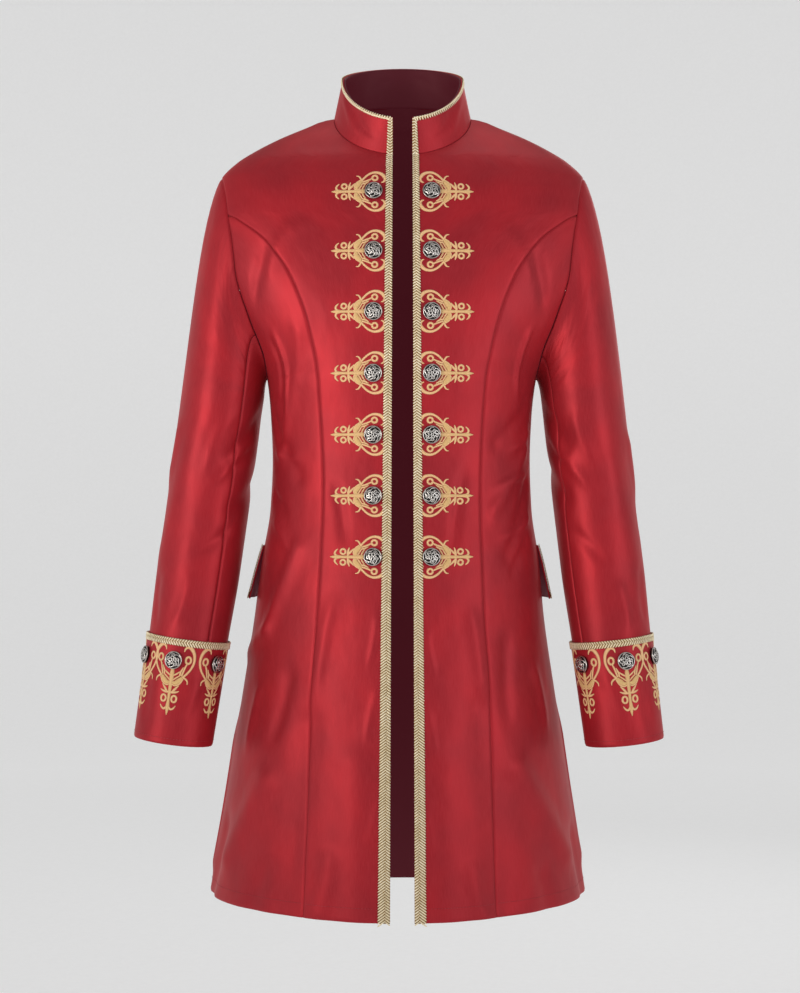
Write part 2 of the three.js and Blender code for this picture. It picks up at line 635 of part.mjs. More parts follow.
// ---------------------------------------------------------------- edging strips
// A strip that follows the edge of a surface: up one end, along, and down the other. Columns
// and rises are the places along and up the surface, and the insets are the strip's width at
// its ends and at its head.
function edging(surface, columns, rises, endInset, headInset, lift) {
  const first = columns[0];
  const last = columns[columns.length - 1];
  const inside = columns.slice(1, -1);
  const edge = (from, to, head) => {
    const climb = [...rises.slice(0, -1), head];
    const up = climb.map((rise) => [from, rise]);
    const down = climb.map((rise) => [to, rise]).reverse();
    return [...up, ...inside.map((u) => [u, head]), ...down];
  };
  const head = rises[rises.length - 1];
  const outerEdge = edge(first, last, head);
  const innerEdge = edge(first + endInset, last - endInset, head - headInset);
  return wallOn(surface, [outerEdge, innerEdge], lift + BRAID, BRAID);
}

const collarHeight = bareCollar(90, 0).distanceTo(bareCollar(90, 1));
const collarCorner = bareCollar(frontNeckDegrees, 1);
const collarEndPace = bareCollar(frontNeckDegrees + 1, 1).distanceTo(collarCorner);
const collarBraid = edging(
  collarPoint,
  collarColumns,
  [COLLAR_BRAID_FOOT, ...collarRises.slice(1)],
  BRAID_WIDTH.collar / collarEndPace,
  BRAID_WIDTH.collar / collarHeight,
  LAID_ON,
);
addPiece("braid_collar", collarBraid, GOLD_BRAID);

// ---------------------------------------------------------------- pocket flaps
// A flap hangs from its top edge and stands off a little at the bottom.
const flapSurface = (side) => (degrees, fall, lift = 0) => {
  const z = FLAP.top + (FLAP.bottom - FLAP.top) * fall;
  return trunkPoint(side.sign * radians(degrees), z, lift + FLAP.standOff * fall);
};

const flapColumns = spread(FLAP.front, FLAP.back, FLAP.columns);
const flapFalls = spread(0, 1, FLAP.rows);
const flapPlaces = flapFalls.map((fall) => flapColumns.map((degrees) => [degrees, fall]));
const flapHeight = FLAP.top - FLAP.bottom;
const flapPace = trunkPoint(radians(100), -550).distanceTo(trunkPoint(radians(101), -550));
for (const side of SIDES) {
  const surface = flapSurface(side);
  const flapLift = LAID_ON + CLOTH;
  addPiece(`flap_${side.name}`, wallOn(surface, flapPlaces, flapLift, CLOTH), SATIN_DARK);
  const ends = BRAID_WIDTH.flap / flapPace;
  const bottom = BRAID_WIDTH.flap / flapHeight;
  const strip = edging(surface, flapColumns, flapFalls, ends, bottom, flapLift + LAID_ON);
  addPiece(`braid_flap_${side.name}`, strip, GOLD_BRAID);
}

// ---------------------------------------------------------------- buttons
// A domed button with a rolled rim, flat at the back, standing on +Z.
function buttonGeometry() {
  const profile = [
    [0, 0],
    [BUTTON.radius * 0.94, 0],
    [BUTTON.radius, BUTTON.height * 0.2],
    [BUTTON.radius * 0.9, BUTTON.height * 0.48],
    [BUTTON.radius * 0.6, BUTTON.height * 0.83],
    [0, BUTTON.height],
  ].map(([radius, height]) => new THREE.Vector2(radius, height));
  const lathe = new THREE.LatheGeometry(profile, BUTTON.segments);
  lathe.rotateX(HALF_PI);
  lathe.deleteAttribute("normal");
  lathe.deleteAttribute("uv");
  const positions = Array.from(lathe.getAttribute("position").array);
  return closedGeometry(positions, triangles(lathe.index));
}

function addButton(name, surface, u, v, lift) {
  const seat = surface(u, v, lift);
  const outward = surface(u, v, lift + 1).sub(seat);
  const button = addPiece(name, buttonGeometry(), SILVER);
  button.position.copy(seat);
  button.quaternion.setFromUnitVectors(new THREE.Vector3(0, 0, 1), outward.normalize());
}

for (const side of SIDES) {
  for (let number = 0; number < FRONT_BUTTONS.count; number += 1) {
    const z = FRONT_BUTTONS.firstZ - FRONT_BUTTONS.pitch * number;
    const name = `button_front_${side.name}_${number + 1}`;
    addButton(name, sidePlace(side), angleAtX(FRONT_BUTTONS.x, z), z, LAID_ON);
  }
  CUFF_BUTTONS.degrees.forEach((degrees, number) => {
    const name = `button_cuff_${side.name}_${number + 1}`;
    const down = cuffTop + CUFF_BUTTONS.below;
    addButton(name, sleeveSurface(side), radians(degrees), down, cuffLift + LAID_ON);
  });
}

export default coat;
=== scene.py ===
"""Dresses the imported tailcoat: red satin, gold braid, embroidery and antique silver buttons."""

import math

import bmesh
import bpy
import numpy as np
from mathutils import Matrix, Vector


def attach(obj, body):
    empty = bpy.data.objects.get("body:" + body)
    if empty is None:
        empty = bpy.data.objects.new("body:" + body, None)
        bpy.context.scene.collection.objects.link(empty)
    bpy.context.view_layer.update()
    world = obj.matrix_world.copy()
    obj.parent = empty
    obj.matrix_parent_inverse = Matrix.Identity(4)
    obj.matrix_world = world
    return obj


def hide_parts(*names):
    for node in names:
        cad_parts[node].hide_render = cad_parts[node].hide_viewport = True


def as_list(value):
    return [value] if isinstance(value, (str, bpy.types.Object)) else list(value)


bl_info = {
    "name": "Satin tailcoat",
    "version": (1, 0, 0),
    "blender": (4, 5, 0),
    "location": "View3D > Sidebar > Tailcoat",
    "description": "Makes the cloth, braid, embroidery and buttons of an open satin tailcoat",
    "category": "Object",
}

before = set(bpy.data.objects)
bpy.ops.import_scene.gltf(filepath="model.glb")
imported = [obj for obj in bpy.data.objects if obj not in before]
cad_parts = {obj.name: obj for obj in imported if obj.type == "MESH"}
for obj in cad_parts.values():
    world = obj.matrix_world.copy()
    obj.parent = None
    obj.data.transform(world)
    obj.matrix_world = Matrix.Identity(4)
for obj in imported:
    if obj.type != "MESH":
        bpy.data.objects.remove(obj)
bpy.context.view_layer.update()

# Lengths in the tables are millimetres, in the coat's own frame: the wearer faces -Y and +X is
# the wearer's left. Finished meshes are in metres.
MM = 0.001
SIDES = {"right": -1, "left": 1}

# Thickness of the satin with its interlining, and of the lining.
CLOTH = 1.6
LINING = 1.0
# How far a trimming stands off the cloth under it, and a sleeve's head is tucked under the seam.
LAID_ON = 0.4
SLEEVE_TUCK = 0.1
# How deep the cloth turns in at a seam, and over what distance from it.
SEAM_DEPTH = 1.0
SEAM_ROLL = 1.7
HEM_Z = -938.0
SHOULDER_TIP_Z = -1.5
# Size of a cell of the cloth's mesh, and distances of the columns that round off its edges.
CELL = 4.6
EDGE_STEPS = np.array([0.0, 0.6, 1.3, 2.3, 3.8])

NECK = {"half_width": 82.5, "front_drop": 55.0, "back_rise": 28.0}
FRONT_GAP = {"top": 11.5, "hem": 14.0}
ARMHOLE = {"top": -72.0, "bottom": -314.0, "half_depth": 62.0, "princess_turn": 126.0}
COLLAR_TOP = {"half_width": 72.0, "front": 74.0, "back": 75.0, "side_z": 48.0,
              "front_drop": 60.5, "lean": 0.8}
COLLAR_HEIGHT = 88.0
SLEEVE = {"x": 216.5, "z": -330.0, "length": 417.0, "hindarm": -90.0}
OUTWARD = {"right": 0.135, "left": 0.114}
FOREARM = {"right": 54.0, "left": 37.0}
CUFF = {"height": 120.0, "overhang": 1.5, "lift": 2.0, "braid": 8.0}
FLAP = {"front": 84.0, "back": 126.0, "top": -514.0, "bottom": -579.0, "height": 65.0,
        "stand_off": 8.5}
FRONT_BUTTONS = {"count": 7, "x": 33.5, "first_z": -101.0, "pitch": 70.6}
CUFF_BUTTONS = {"below": 24.0, "degrees": (155.0, 100.0, 35.0)}


def columns(names, rows):
    """A table as one array for each named column."""
    return dict(zip(names.split(), np.array(rows, float).T))


# Level sections of the trunk: half its width, its front and back, the depth at which it is
# widest, how far its sides sway to the wearer's right, and the power of its superellipse.
TRUNK = columns("z half_width front back widest sway power", [
    (-938, 230.5, -151, 138, 47, 6, 1.8),
    (-825, 210.5, -142, 131, 40, 5, 1.87),
    (-700, 191, -131, 124, 30, 4.5, 1.95),
    (-605, 176, -124, 118, 20, 4, 2),
    (-530, 167, -116, 109, 12, 2.5, 2.05),
    (-470, 157.5, -109, 99, 8, 1.8, 2.1),
    (-411, 155, -106, 95, 6, 1.5, 2.1),
    (-360, 157, -109, 99, 6, 1.5, 2.15),
    (-314, 162, -114, 106, 6, 1, 2.2),
    (-290, 171, -115, 109, 5, 0, 2.2),
    (-245, 199, -115, 113, 5, 0, 2.2),
    (-185, 229, -110, 116, 4, 0, 2.15),
    (-127, 236, -99, 113, 2, 0, 2.1),
    (-95, 229, -90, 108, 1, 0, 2.05),
    (-72, 217.5, -79, 103, 0, 0, 2),
    (-54, 199, -67.5, 99, 0, 0, 2),
    (-40, 177, -53.5, 96, 0, 0, 2),
    (-25, 148, -38, 92, 0, 0, 2),
    (-11, 115, -22, 88, 0, 0, 2),
    (-3.5, 98, -13, 86, 0, 0, 2),
    (0, 83.5, -10, 84, 0, 0, 2),
    (14, 80.8, -9, 80, 0, 0, 2),
    (24, 78, -8, 76.7, 0, 0, 2),
    (28, 72, -8, 75.5, 0, 0, 2),
])

# The princess seam's distance from the middle plane at each level.
PRINCESS = columns("z x", [
    (-938, 112), (-833, 109), (-700, 105), (-578, 96), (-450, 91.5),
    (-327, 97), (-262, 108), (-200, 129.5), (-155.6, 160), (-121, 205),
])

# Sections across the sleeve by the distance down its axis; forward is the depth of the axis.
SLEEVE_SECTIONS = columns("down half_width half_depth forward", [
    (0, 49.5, 65, 7),
    (100, 49.5, 61, 9),
    (210, 49.5, 56, 0),
    (300, 47, 50, -14),
    (417, 45, 45, -32),
])

# How far the back's lining hangs clear of the back's inner face.
LINING_SLACK = columns("z slack", [
    (-938, 7), (-600, 7), (-330, 5), (-150, 4), (0, 2), (28, 0.6),
])

# Folds of the trunk, as soft ridges (+) or troughs (-) along a line that may bow sideways.
# Angles are in degrees round the trunk: 0 is the front, 180 the back, + the wearer's left.
# Bow, height and width are millimetres, and taper is what is left of the width at the far end.
MM_PER_DEGREE = 3.0
FOLD_COLUMNS = "from_across from_along to_across to_along height width bow taper"
TRUNK_FOLDS = columns(FOLD_COLUMNS, [
    # the large folds that the frame has too
    (-47, -517, -62, -612, 3.5, 13, 0, 1),
    (-62, -612, -82, -642, 3, 12, 0, 1),
    (-52, -790, -68, -885, 5, 17, 0, 1),
    (-34, -720, -38, -925, -3.5, 20, 0, 1),
    (-16, -760, -15, -938, 3, 18, 0, 1),
    (-38, -262, -66, -405, 2, 10, 0, 1),
    (-72, -370, -50, -430, -3, 11, 0, 1),
    (44, -770, 66, -880, 5, 16, 0, 1),
    (30, -700, 34, -925, -3.5, 20, 0, 1),
    (14, -740, 16, -938, 2.5, 18, 0, 1),
    (70, -400, 42, -470, 3, 10, 0, 1),
    (72, -440, 48, -525, -3, 11, 0, 1),
    (66, -352, 44, -392, -2.5, 10, 0, 1),
    (-106, -680, -110, -938, 5, 26, 0, 1),
    (-130, -640, -134, -938, -5, 28, 0, 1),
    (-158, -600, -156, -938, 5, 30, 0, 1),
    (108, -700, 112, -938, 5, 24, 0, 1),
    (136, -620, 132, -938, -5, 30, 0, 1),
    (163, -650, 160, -938, 4, 28, 0, 1),
    (-140, -380, -105, -430, -3, 13, 0, 1),
    (142, -400, 108, -455, -3, 13, 0, 1),
    # the right front: chest, waist and skirt
    (-52, -250, -60, -372, 3.2, 5.5, 5, 0.6),
    (-57, -262, -64, -350, -2.4, 5, 4, 0.7),
    (-27, -128, -44, -205, 2.2, 9, -6, 0.6),
    (-40, -150, -58, -238, -2.7, 9, 7, 0.6),
    (-76, -395, -44, -412, 2.7, 7, -5, 0.5),
    (-78, -452, -54, -482, -3.0, 8, 4, 0.5),
    (-74, -480, -50, -524, 2.4, 7, 6, 0.6),
    (-30, -430, -22, -520, -1.9, 9, 3, 0.8),
    (-26, -560, -31, -700, 2.4, 10, -6, 0.7),
    (-44, -640, -52, -760, -3.2, 11, 5, 0.8),
    (-60, -668, -66, -770, 2.7, 10, -4, 0.7),
    (-9, -585, -13, -655, 1.4, 5, 2, 0.6),
    (-8, -668, -13, -742, 1.6, 5.5, -2, 0.6),
    (-8, -790, -12, -858, 1.4, 6, 2, 0.7),
    (-24, -850, -27, -930, 2.9, 9, 3, 1.1),
    (-44, -868, -50, -932, -2.9, 10, -3, 1.2),
    (-76, -820, -82, -934, -4.5, 13, 5, 1.2),
    (-90, -700, -92, -900, 3.5, 12, -5, 1.1),
    # the left front
    (50, -248, 60, -352, 2.9, 6, -5, 0.6),
    (24, -132, 42, -212, 2.1, 9, 6, 0.6),
    (38, -158, 56, -246, -2.9, 9, -6, 0.6),
    (76, -372, 50, -402, 3.5, 7, 5, 0.5),
    (80, -428, 36, -452, 2.6, 6, -6, 0.5),
    (76, -472, 40, -506, 3.4, 7, 5, 0.5),
    (70, -502, 46, -556, -2.7, 8, -5, 0.6),
    (28, -415, 20, -530, -2.1, 9, -4, 0.8),
    (26, -570, 30, -712, 2.2, 10, 6, 0.7),
    (46, -600, 42, -742, -3.2, 11, -6, 0.8),
    (58, -640, 64, -742, 2.9, 10, 4, 0.7),
    (9, -600, 13, -668, 1.4, 5, -2, 0.6),
    (8, -690, 12, -760, 1.6, 5.5, 2, 0.6),
    (8, -800, 12, -872, 1.4, 6, -2, 0.7),
    (24, -862, 27, -932, 2.7, 9, -3, 1.1),
    (48, -880, 52, -934, -2.9, 10, 3, 1.2),
    (78, -836, 80, -934, -4.2, 13, -4, 1.2),
    (92, -690, 90, -890, 3.5, 12, 5, 1.1),
    # the back, which has the same kind of folds as the front
    (-172, -395, -138, -422, 2.9, 8, 6, 0.5),
    (-170, -430, -132, -470, -3.2, 9, -6, 0.6),
    (-176, -462, -146, -500, 2.4, 7, 5, 0.6),
    (174, -388, 140, -430, 3.0, 8, -6, 0.5),
    (172, -428, 134, -452, -2.9, 9, 5, 0.6),
    (176, -476, 148, -520, 2.6, 8, -5, 0.6),
    (-150, -150, -128, -262, 3.2, 10, 7, 0.7),
    (-140, -142, -116, -232, -3.2, 10, -5, 0.7),
    (152, -146, 130, -270, 3.2, 10, -7, 0.7),
    (141, -150, 118, -240, -3.2, 10, 5, 0.7),
    (-178, -100, -176, -230, -2.1, 12, 4, 0.8),
    (-144, -640, -146, -880, 4.2, 12, 6, 1.1),
    (-120, -700, -122, -930, 3.5, 12, -5, 1.2),
    (-172, -720, -171, -934, -4.5, 14, 4, 1.2),
    (148, -660, 147, -900, 4.2, 12, -6, 1.1),
    (121, -720, 124, -930, 3.5, 12, 5, 1.2),
    (174, -700, 175, -934, -4.2, 14, -4, 1.2),
    (-98, -560, -104, -660, -2.9, 10, 4, 0.8),
    (99, -580, 103, -690, -2.9, 10, -4, 0.8),
])

# Folds of each sleeve, by degrees round it and millimetres down it. 0 faces the body, 90 the
# front and 180 away from the body.
SLEEVE_FOLDS = {
    "right": columns(FOLD_COLUMNS, [
        (10, 20, 60, 75, -3.5, 13, 0, 1),
        (-20, 95, 45, 135, -3, 12, 0, 1),
        (-60, 120, -100, 190, -3, 14, 0, 1),
        (120, 60, 150, 200, 2, 18, 0, 1),
        (34, 52, 96, 118, 2.6, 8, 6, 0.5),
        (8, 60, 72, 104, -2.6, 7, -5, 0.5),
        (40, 150, 104, 196, -2.4, 9, 6, 0.6),
        (66, 20, 92, 112, 2.2, 9, -7, 0.6),
        (150, 30, 176, 130, 2.6, 11, 6, 0.7),
        (196, 90, 170, 196, -2.9, 12, -6, 0.8),
        (92, 210, 112, 292, 2.1, 9, 5, 0.7),
        (150, 216, 140, 292, -2.1, 10, -5, 0.7),
        (228, 60, 212, 170, 2.7, 12, 5, 0.8),
        (-84, 60, -52, 100, -2.7, 9, -5, 0.6),
        (-40, 30, -76, 62, 2.6, 9, 5, 0.6),
        (60, 330, 92, 408, 1.6, 9, 5, 0.8),
        (138, 322, 128, 410, -1.6, 10, -5, 0.9),
        (210, 312, 216, 404, 1.6, 10, 4, 0.9),
    ]),
    "left": columns(FOLD_COLUMNS, [
        (14, 12, 52, 60, -3, 12, 0, 1),
        (-15, 80, 40, 122, -3, 12, 0, 1),
        (-66, 110, -104, 175, -3, 14, 0, 1),
        (116, 90, 140, 230, 2, 18, 0, 1),
        (30, 66, 88, 128, 2.6, 8, -6, 0.5),
        (6, 48, 66, 92, -2.6, 7, 5, 0.5),
        (36, 158, 96, 214, -2.4, 9, -6, 0.6),
        (70, 14, 98, 100, 2.2, 9, 6, 0.6),
        (154, 44, 172, 150, 2.6, 11, -6, 0.7),
        (200, 80, 178, 186, -2.9, 12, 6, 0.8),
        (98, 222, 110, 292, 2.1, 9, -5, 0.7),
        (146, 206, 152, 290, -2.1, 10, 5, 0.7),
        (224, 70, 216, 184, 2.7, 12, -5, 0.8),
        (-80, 52, -50, 94, -2.7, 9, 5, 0.6),
        (-44, 26, -72, 66, 2.6, 9, -5, 0.6),
        (64, 326, 90, 404, 1.6, 9, -5, 0.8),
        (134, 330, 126, 412, -1.6, 10, 5, 0.9),
        (214, 318, 210, 400, 1.6, 10, -4, 0.9),
    ]),
}

# Creases of the collar, by degrees round the neck and hundredths of its height.
COLLAR_CREASES = columns(FOLD_COLUMNS, [
    (-78, 88, -40, 14, 1.6, 8, 4, 0.5),
    (-58, 96, -24, 30, -1.3, 7, -4, 0.6),
    (74, 84, 44, 10, 1.3, 9, -4, 0.5),
    (56, 92, 30, 34, -1.0, 7, 4, 0.6),
    (-128, 20, -104, 86, 1.2, 10, 4, 0.7),
    (132, 18, 110, 82, 1.2, 10, -4, 0.7),
    (-168, 80, -150, 16, -1.2, 10, 4, 0.7),
    (166, 84, 146, 20, -1.1, 10, -4, 0.7),
])

# Slack folds of the lining, which hangs freely inside the back.
LINING_FOLDS = columns(FOLD_COLUMNS, [
    (-170, -300, -166, -900, 1.5, 14, 8, 1.2),
    (-178, -200, -176, -640, -1.5, 12, -6, 1.1),
    (168, -320, 170, -920, 1.5, 14, -8, 1.2),
    (152, -420, 156, -930, -1.5, 16, 6, 1.2),
    (-150, -380, -152, -930, 1.5, 16, -6, 1.2),
    (-128, -460, -130, -930, -1.5, 16, 5, 1.2),
    (128, -440, 130, -930, 1.5, 16, -5, 1.2),
    (-178, -90, -168, -150, 1.1, 9, 4, 0.6),
    (176, -120, 166, -176, -1.1, 9, -4, 0.6),
])


# ------------------------------------------------------------------ curves and folds
def hermite(start, start_slope, end, end_slope, t):
    rest = 1 - t
    rise = start * (1 + 2 * t) * rest * rest + start_slope * t * rest * rest
    return rise + end * t * t * (3 - 2 * t) - end_slope * t * t * rest


def steady_slopes(places, values):
    """Slopes of a table's column that never overshoot: each is the harmonic mean of its sides."""
    rise = np.diff(values) / np.diff(places)
    before, after = rise[:-1], rise[1:]
    same_way = before * after > 0
    total = np.where(same_way, before + after, 1)
    inner = np.where(same_way, 2 * before * after / total, 0)
    return np.concatenate([rise[:1], inner, rise[-1:]])


def look_up(table, at, *names):
    """Smooth values of columns of a table, at places along its first column."""
    places = next(iter(table.values()))
    at = np.clip(at, places[0], places[-1])
    row = np.clip(np.searchsorted(places, at) - 1, 0, len(places) - 2)
    span = places[row + 1] - places[row]
    t = (at - places[row]) / span
    found = []
    for values in (table[name] for name in names):
        slopes = steady_slopes(places, values)
        found.append(hermite(values[row], slopes[row] * span,
                             values[row + 1], slopes[row + 1] * span, t))
    return found if len(names) > 1 else found[0]


def smooth_step(t):
    t = np.clip(t, 0, 1)
    return t * t * (3 - 2 * t)


def fold_height(folds, across, along, unit=1.0, period=360.0):
    """Height of a table of folds at places on the cloth. unit is the millimetres of one step
    across, and the folds run on round the piece after one period."""
    height = np.zeros(np.broadcast(across, along).shape)
    for row in range(len(folds["height"])):
        fold = {name: values[row] for name, values in folds.items()}
        middle = (fold["from_across"] + fold["to_across"]) / 2
        near = (across - middle + period / 2) % period - period / 2 + middle
        x, y = (near - fold["from_across"]) * unit, along - fold["from_along"]
        span_x = (fold["to_across"] - fold["from_across"]) * unit
        span_y = fold["to_along"] - fold["from_along"]
        length = math.hypot(span_x, span_y)
        t = np.clip((x * span_x + y * span_y) / length**2, 0, 1)
        bow = fold["bow"] * 4 * t * (1 - t)
        gap_x = x - t * span_x + bow * span_y / length
        gap_y = y - t * span_y - bow * span_x / length
        width = fold["width"] * (1 + (fold["taper"] - 1) * t)
        fade = 1.0
        if fold["taper"] < 1:
            fade = smooth_step(t / 0.25) * smooth_step((1 - t) / 0.35)
        elif fold["taper"] > 1:
            fade = smooth_step(t / 0.3)
        height += fold["height"] * fade * np.exp(-(gap_x**2 + gap_y**2) / width**2)
    return height


# Half the turn, in radians, over which a surface's direction is measured.
TURN_STEP = 0.03


def unit_of(vectors):
    return vectors / np.maximum(np.linalg.norm(vectors, axis=-1, keepdims=True), 1e-12)


def normal_of(surface, u, v, step_u, step_v):
    """Outward unit normals of a surface given as a function of two numbers."""
    across = surface(u + step_u, v) - surface(u - step_u, v)
    along = surface(u, v + step_v) - surface(u, v - step_v)
    return unit_of(np.cross(across, along))


# ------------------------------------------------------------------ the trunk's surface
def bare_trunk(angle, z):
    half_width, front, back, widest, sway, power = look_up(TRUNK, z, *list(TRUNK)[1:])
    across, ahead = np.sin(angle), np.cos(angle)
    depth = np.where(ahead >= 0, widest - front, back - widest)
    x = (half_width * np.sign(across) - sway) * np.abs(across) ** (2 / power)
    y = widest - depth * np.sign(ahead) * np.abs(ahead) ** (2 / power)
    return np.stack(np.broadcast_arrays(x, y, z), -1)


def trunk_normal(angle, z):
    return normal_of(bare_trunk, angle, z, TURN_STEP, 1.5)


def trunk_point(angle, z, lift=0.0):
    """Points of the trunk in millimetres, lifted off the cloth's outer face."""
    height = lift + fold_height(TRUNK_FOLDS, np.degrees(angle), z, MM_PER_DEGREE)
    return bare_trunk(angle, z) + trunk_normal(angle, z) * np.asarray(height)[..., None]


def angle_at_x(x, z):
    """Angle at which the front of the trunk lies at a distance from the middle plane."""
    half_width, power = look_up(TRUNK, z, "half_width", "power")
    return np.arcsin(np.minimum(1, np.abs(x) / half_width) ** (power / 2)) * np.sign(x)


def front_edge_x(z):
    return FRONT_GAP["top"] + (FRONT_GAP["hem"] - FRONT_GAP["top"]) * z / HEM_Z


def neckline(degrees):
    """Angle and height of the neckline: 0 degrees is the front, 90 the shoulder, 180 the nape."""
    turn = np.radians(degrees)
    drop = np.where(degrees < 90, NECK["front_drop"], NECK["back_rise"])
    z = -np.cos(turn) * drop
    angle = angle_at_x(NECK["half_width"] * np.sin(turn), z)
    return np.where(degrees <= 90, angle, np.pi - angle), z


ARMHOLE_MIDDLE = (ARMHOLE["top"] + ARMHOLE["bottom"]) / 2
ARMHOLE_HALF = (ARMHOLE["top"] - ARMHOLE["bottom"]) / 2


def armhole(turn):
    """Angle and height of the armhole: 0 is the underarm, a right angle the front."""
    z = ARMHOLE_MIDDLE - ARMHOLE_HALF * np.cos(turn)
    front, back, widest, power = look_up(TRUNK, z, "front", "back", "widest", "power")
    ahead = np.sin(turn) >= 0
    depth = np.where(ahead, widest - front, back - widest)
    share = ARMHOLE["half_depth"] * np.abs(np.sin(turn)) / depth
    angle = np.arccos(np.minimum(1, share ** (power / 2)))
    return np.where(ahead, angle, np.pi - angle), z


def armhole_angle(z, behind):
    share = np.clip((ARMHOLE_MIDDLE - z) / ARMHOLE_HALF, -1, 1)
    turn = np.arccos(share)
    return armhole(-turn if behind else turn)[0]


# ------------------------------------------------------------------ rows of the panels
NECK_START = math.degrees(math.asin(FRONT_GAP["top"] / NECK["half_width"]))
HEM_ROWS = HEM_Z + np.array([0.0, 0.7, 1.6, 3.0])
SKIRT_ROWS = np.linspace(HEM_Z + 5.5, ARMHOLE["bottom"], 136)[:-1]
ARMHOLE_ROWS = armhole(np.radians(np.linspace(0, 180, 61)))[1]
PRINCESS_TOP = float(armhole(np.radians(ARMHOLE["princess_turn"]))[1])
NECK_ROWS = neckline(np.linspace(NECK_START, 87.5, 27))[1]
SHOULDER_ROWS = np.linspace(ARMHOLE["top"], NECK_ROWS[0], 6)[1:-1]
NAPE_ROWS = neckline(np.linspace(90, 166, 24))[1]
BODY_ROWS = np.concatenate([HEM_ROWS, SKIRT_ROWS, ARMHOLE_ROWS, SHOULDER_ROWS, NECK_ROWS])


def front_inner_angle(z):
    on_neck = neckline(np.degrees(np.arccos(np.clip(-z / NECK["front_drop"], 0, 1))))[0]
    return np.where(z < NECK_ROWS[0] - 0.001, angle_at_x(front_edge_x(z), z), on_neck)


def princess_angle(z):
    return angle_at_x(look_up(PRINCESS, z, "x"), z)


def side_angle(z, behind):
    beside = (z > ARMHOLE["bottom"]) & (z < ARMHOLE["top"])
    return np.where(beside, armhole_angle(z, behind), np.pi / 2)


def front_outer_angle(z):
    above = np.where(z <= ARMHOLE["top"], armhole_angle(z, False), np.pi / 2)
    return np.where(z < PRINCESS_TOP - 0.001, princess_angle(z), above)


def back_end_angle(z):
    on_nape = neckline(90 + np.degrees(np.arcsin(np.clip(z / NECK["back_rise"], 0, 1))))[0]
    return np.where(z <= 0, side_angle(z, True), on_nape)


def panel_places(rows, start, end, cell=CELL):
    """Angles of a panel's grid, and how far each lies from its two edges in millimetres. The
    columns crowd together at the edges, where the cloth turns into the seam."""
    share = np.linspace(0, 1, 49)
    angles = start[:, None] + (end - start)[:, None] * share
    paces = np.linalg.norm(np.diff(bare_trunk(angles, rows[:, None]), axis=1), axis=2)
    walked = np.concatenate([np.zeros((len(rows), 1)), np.cumsum(paces, axis=1)], axis=1)
    total = walked[:, -1]
    squeeze = np.minimum(1, total / (4 * EDGE_STEPS[-1]))
    near = EDGE_STEPS * squeeze[:, None]
    far = (total[:, None] - near)[:, ::-1]
    inner = np.linspace(0, 1, max(3, round(total.max() / cell)))[1:-1]
    middle = near[:, -1:] + (far[:, :1] - near[:, -1:]) * inner
    place = np.concatenate([near, middle, far], axis=1)
    found = [np.interp(place[i], walked[i], angles[i]) for i in range(len(rows))]
    return np.array(found), place, total[:, None] - place


def rolled(distance, depth=SEAM_DEPTH, roll=SEAM_ROLL):
    """How far the cloth turns in near an edge."""
    return -depth * np.exp(-((distance / roll) ** 2))


# ------------------------------------------------------------------ collar
def collar_top(degrees, side):
    share = np.clip((90 - degrees) / (90 - NECK_START), 0, None)
    start = math.degrees(math.asin(FRONT_GAP["top"] / COLLAR_TOP["half_width"]))
    leaned = 90 - (90 - start) * share ** COLLAR_TOP["lean"]
    turn = np.radians(np.where(degrees >= 90, degrees, leaned))
    x = COLLAR_TOP["half_width"] * np.sin(turn)
    ahead = np.cos(turn)
    y = -ahead * np.where(ahead >= 0, COLLAR_TOP["front"], COLLAR_TOP["back"])
    front_z = COLLAR_TOP["side_z"] - ahead * COLLAR_TOP["front_drop"]
    back_z = COLLAR_TOP["side_z"] - ahead * NECK["back_rise"]
    return np.stack([x * side, y, np.where(ahead >= 0, front_z, back_z)], -1)


# The neckline turns back on itself over the shoulder seam, so between these degrees the collar's
# foot runs straight across.
SHOULDER_CROSSING = (87.0, 100.0)


def collar_foot(degrees, side):
    angle, z = neckline(degrees)
    return trunk_point(angle * side, z)


def bare_collar(degrees, rise):
    """Signed degrees round the neck, and rise from 0 at the neckline to 1 at the top edge."""
    degrees, rise = np.broadcast_arrays(degrees, rise)
    turned = np.where(degrees > 180, degrees - 360.0, degrees)
    side = np.where(turned < 0, -1.0, 1.0)
    foot = collar_foot(np.abs(turned), side)
    first, last = SHOULDER_CROSSING
    start = collar_foot(np.full_like(turned, first), side)
    end = collar_foot(np.full_like(turned, last), side)
    share = np.clip((np.abs(turned) - first) / (last - first), 0, 1)[..., None]
    foot = np.where((share > 0) & (share < 1), start + (end - start) * share, foot)
    top = collar_top(np.abs(turned), side)
    return foot + (top - foot) * np.asarray(rise)[..., None]


def collar_point(degrees, rise, lift=0.0):
    normal = normal_of(bare_collar, degrees, rise, 1.0, 0.05)
    crease = fold_height(COLLAR_CREASES, degrees, np.asarray(rise) * 100, 1.3)
    held = smooth_step(np.asarray(rise) / 0.12) * smooth_step((1 - np.asarray(rise)) / 0.1)
    return bare_collar(degrees, rise) + normal * (lift + crease * held)[..., None]


# ------------------------------------------------------------------ sleeves
# A point inside the armhole, from which the sleeve's cloth always leaves outwards.
ARMHOLE_HUB = np.array([205.0, 4.0, ARMHOLE_MIDDLE])
# How strongly the sleeve's head keeps the armhole's direction, and how far it droops there.
HEAD_FULLNESS = 0.43
HEAD_DROOP = 0.3


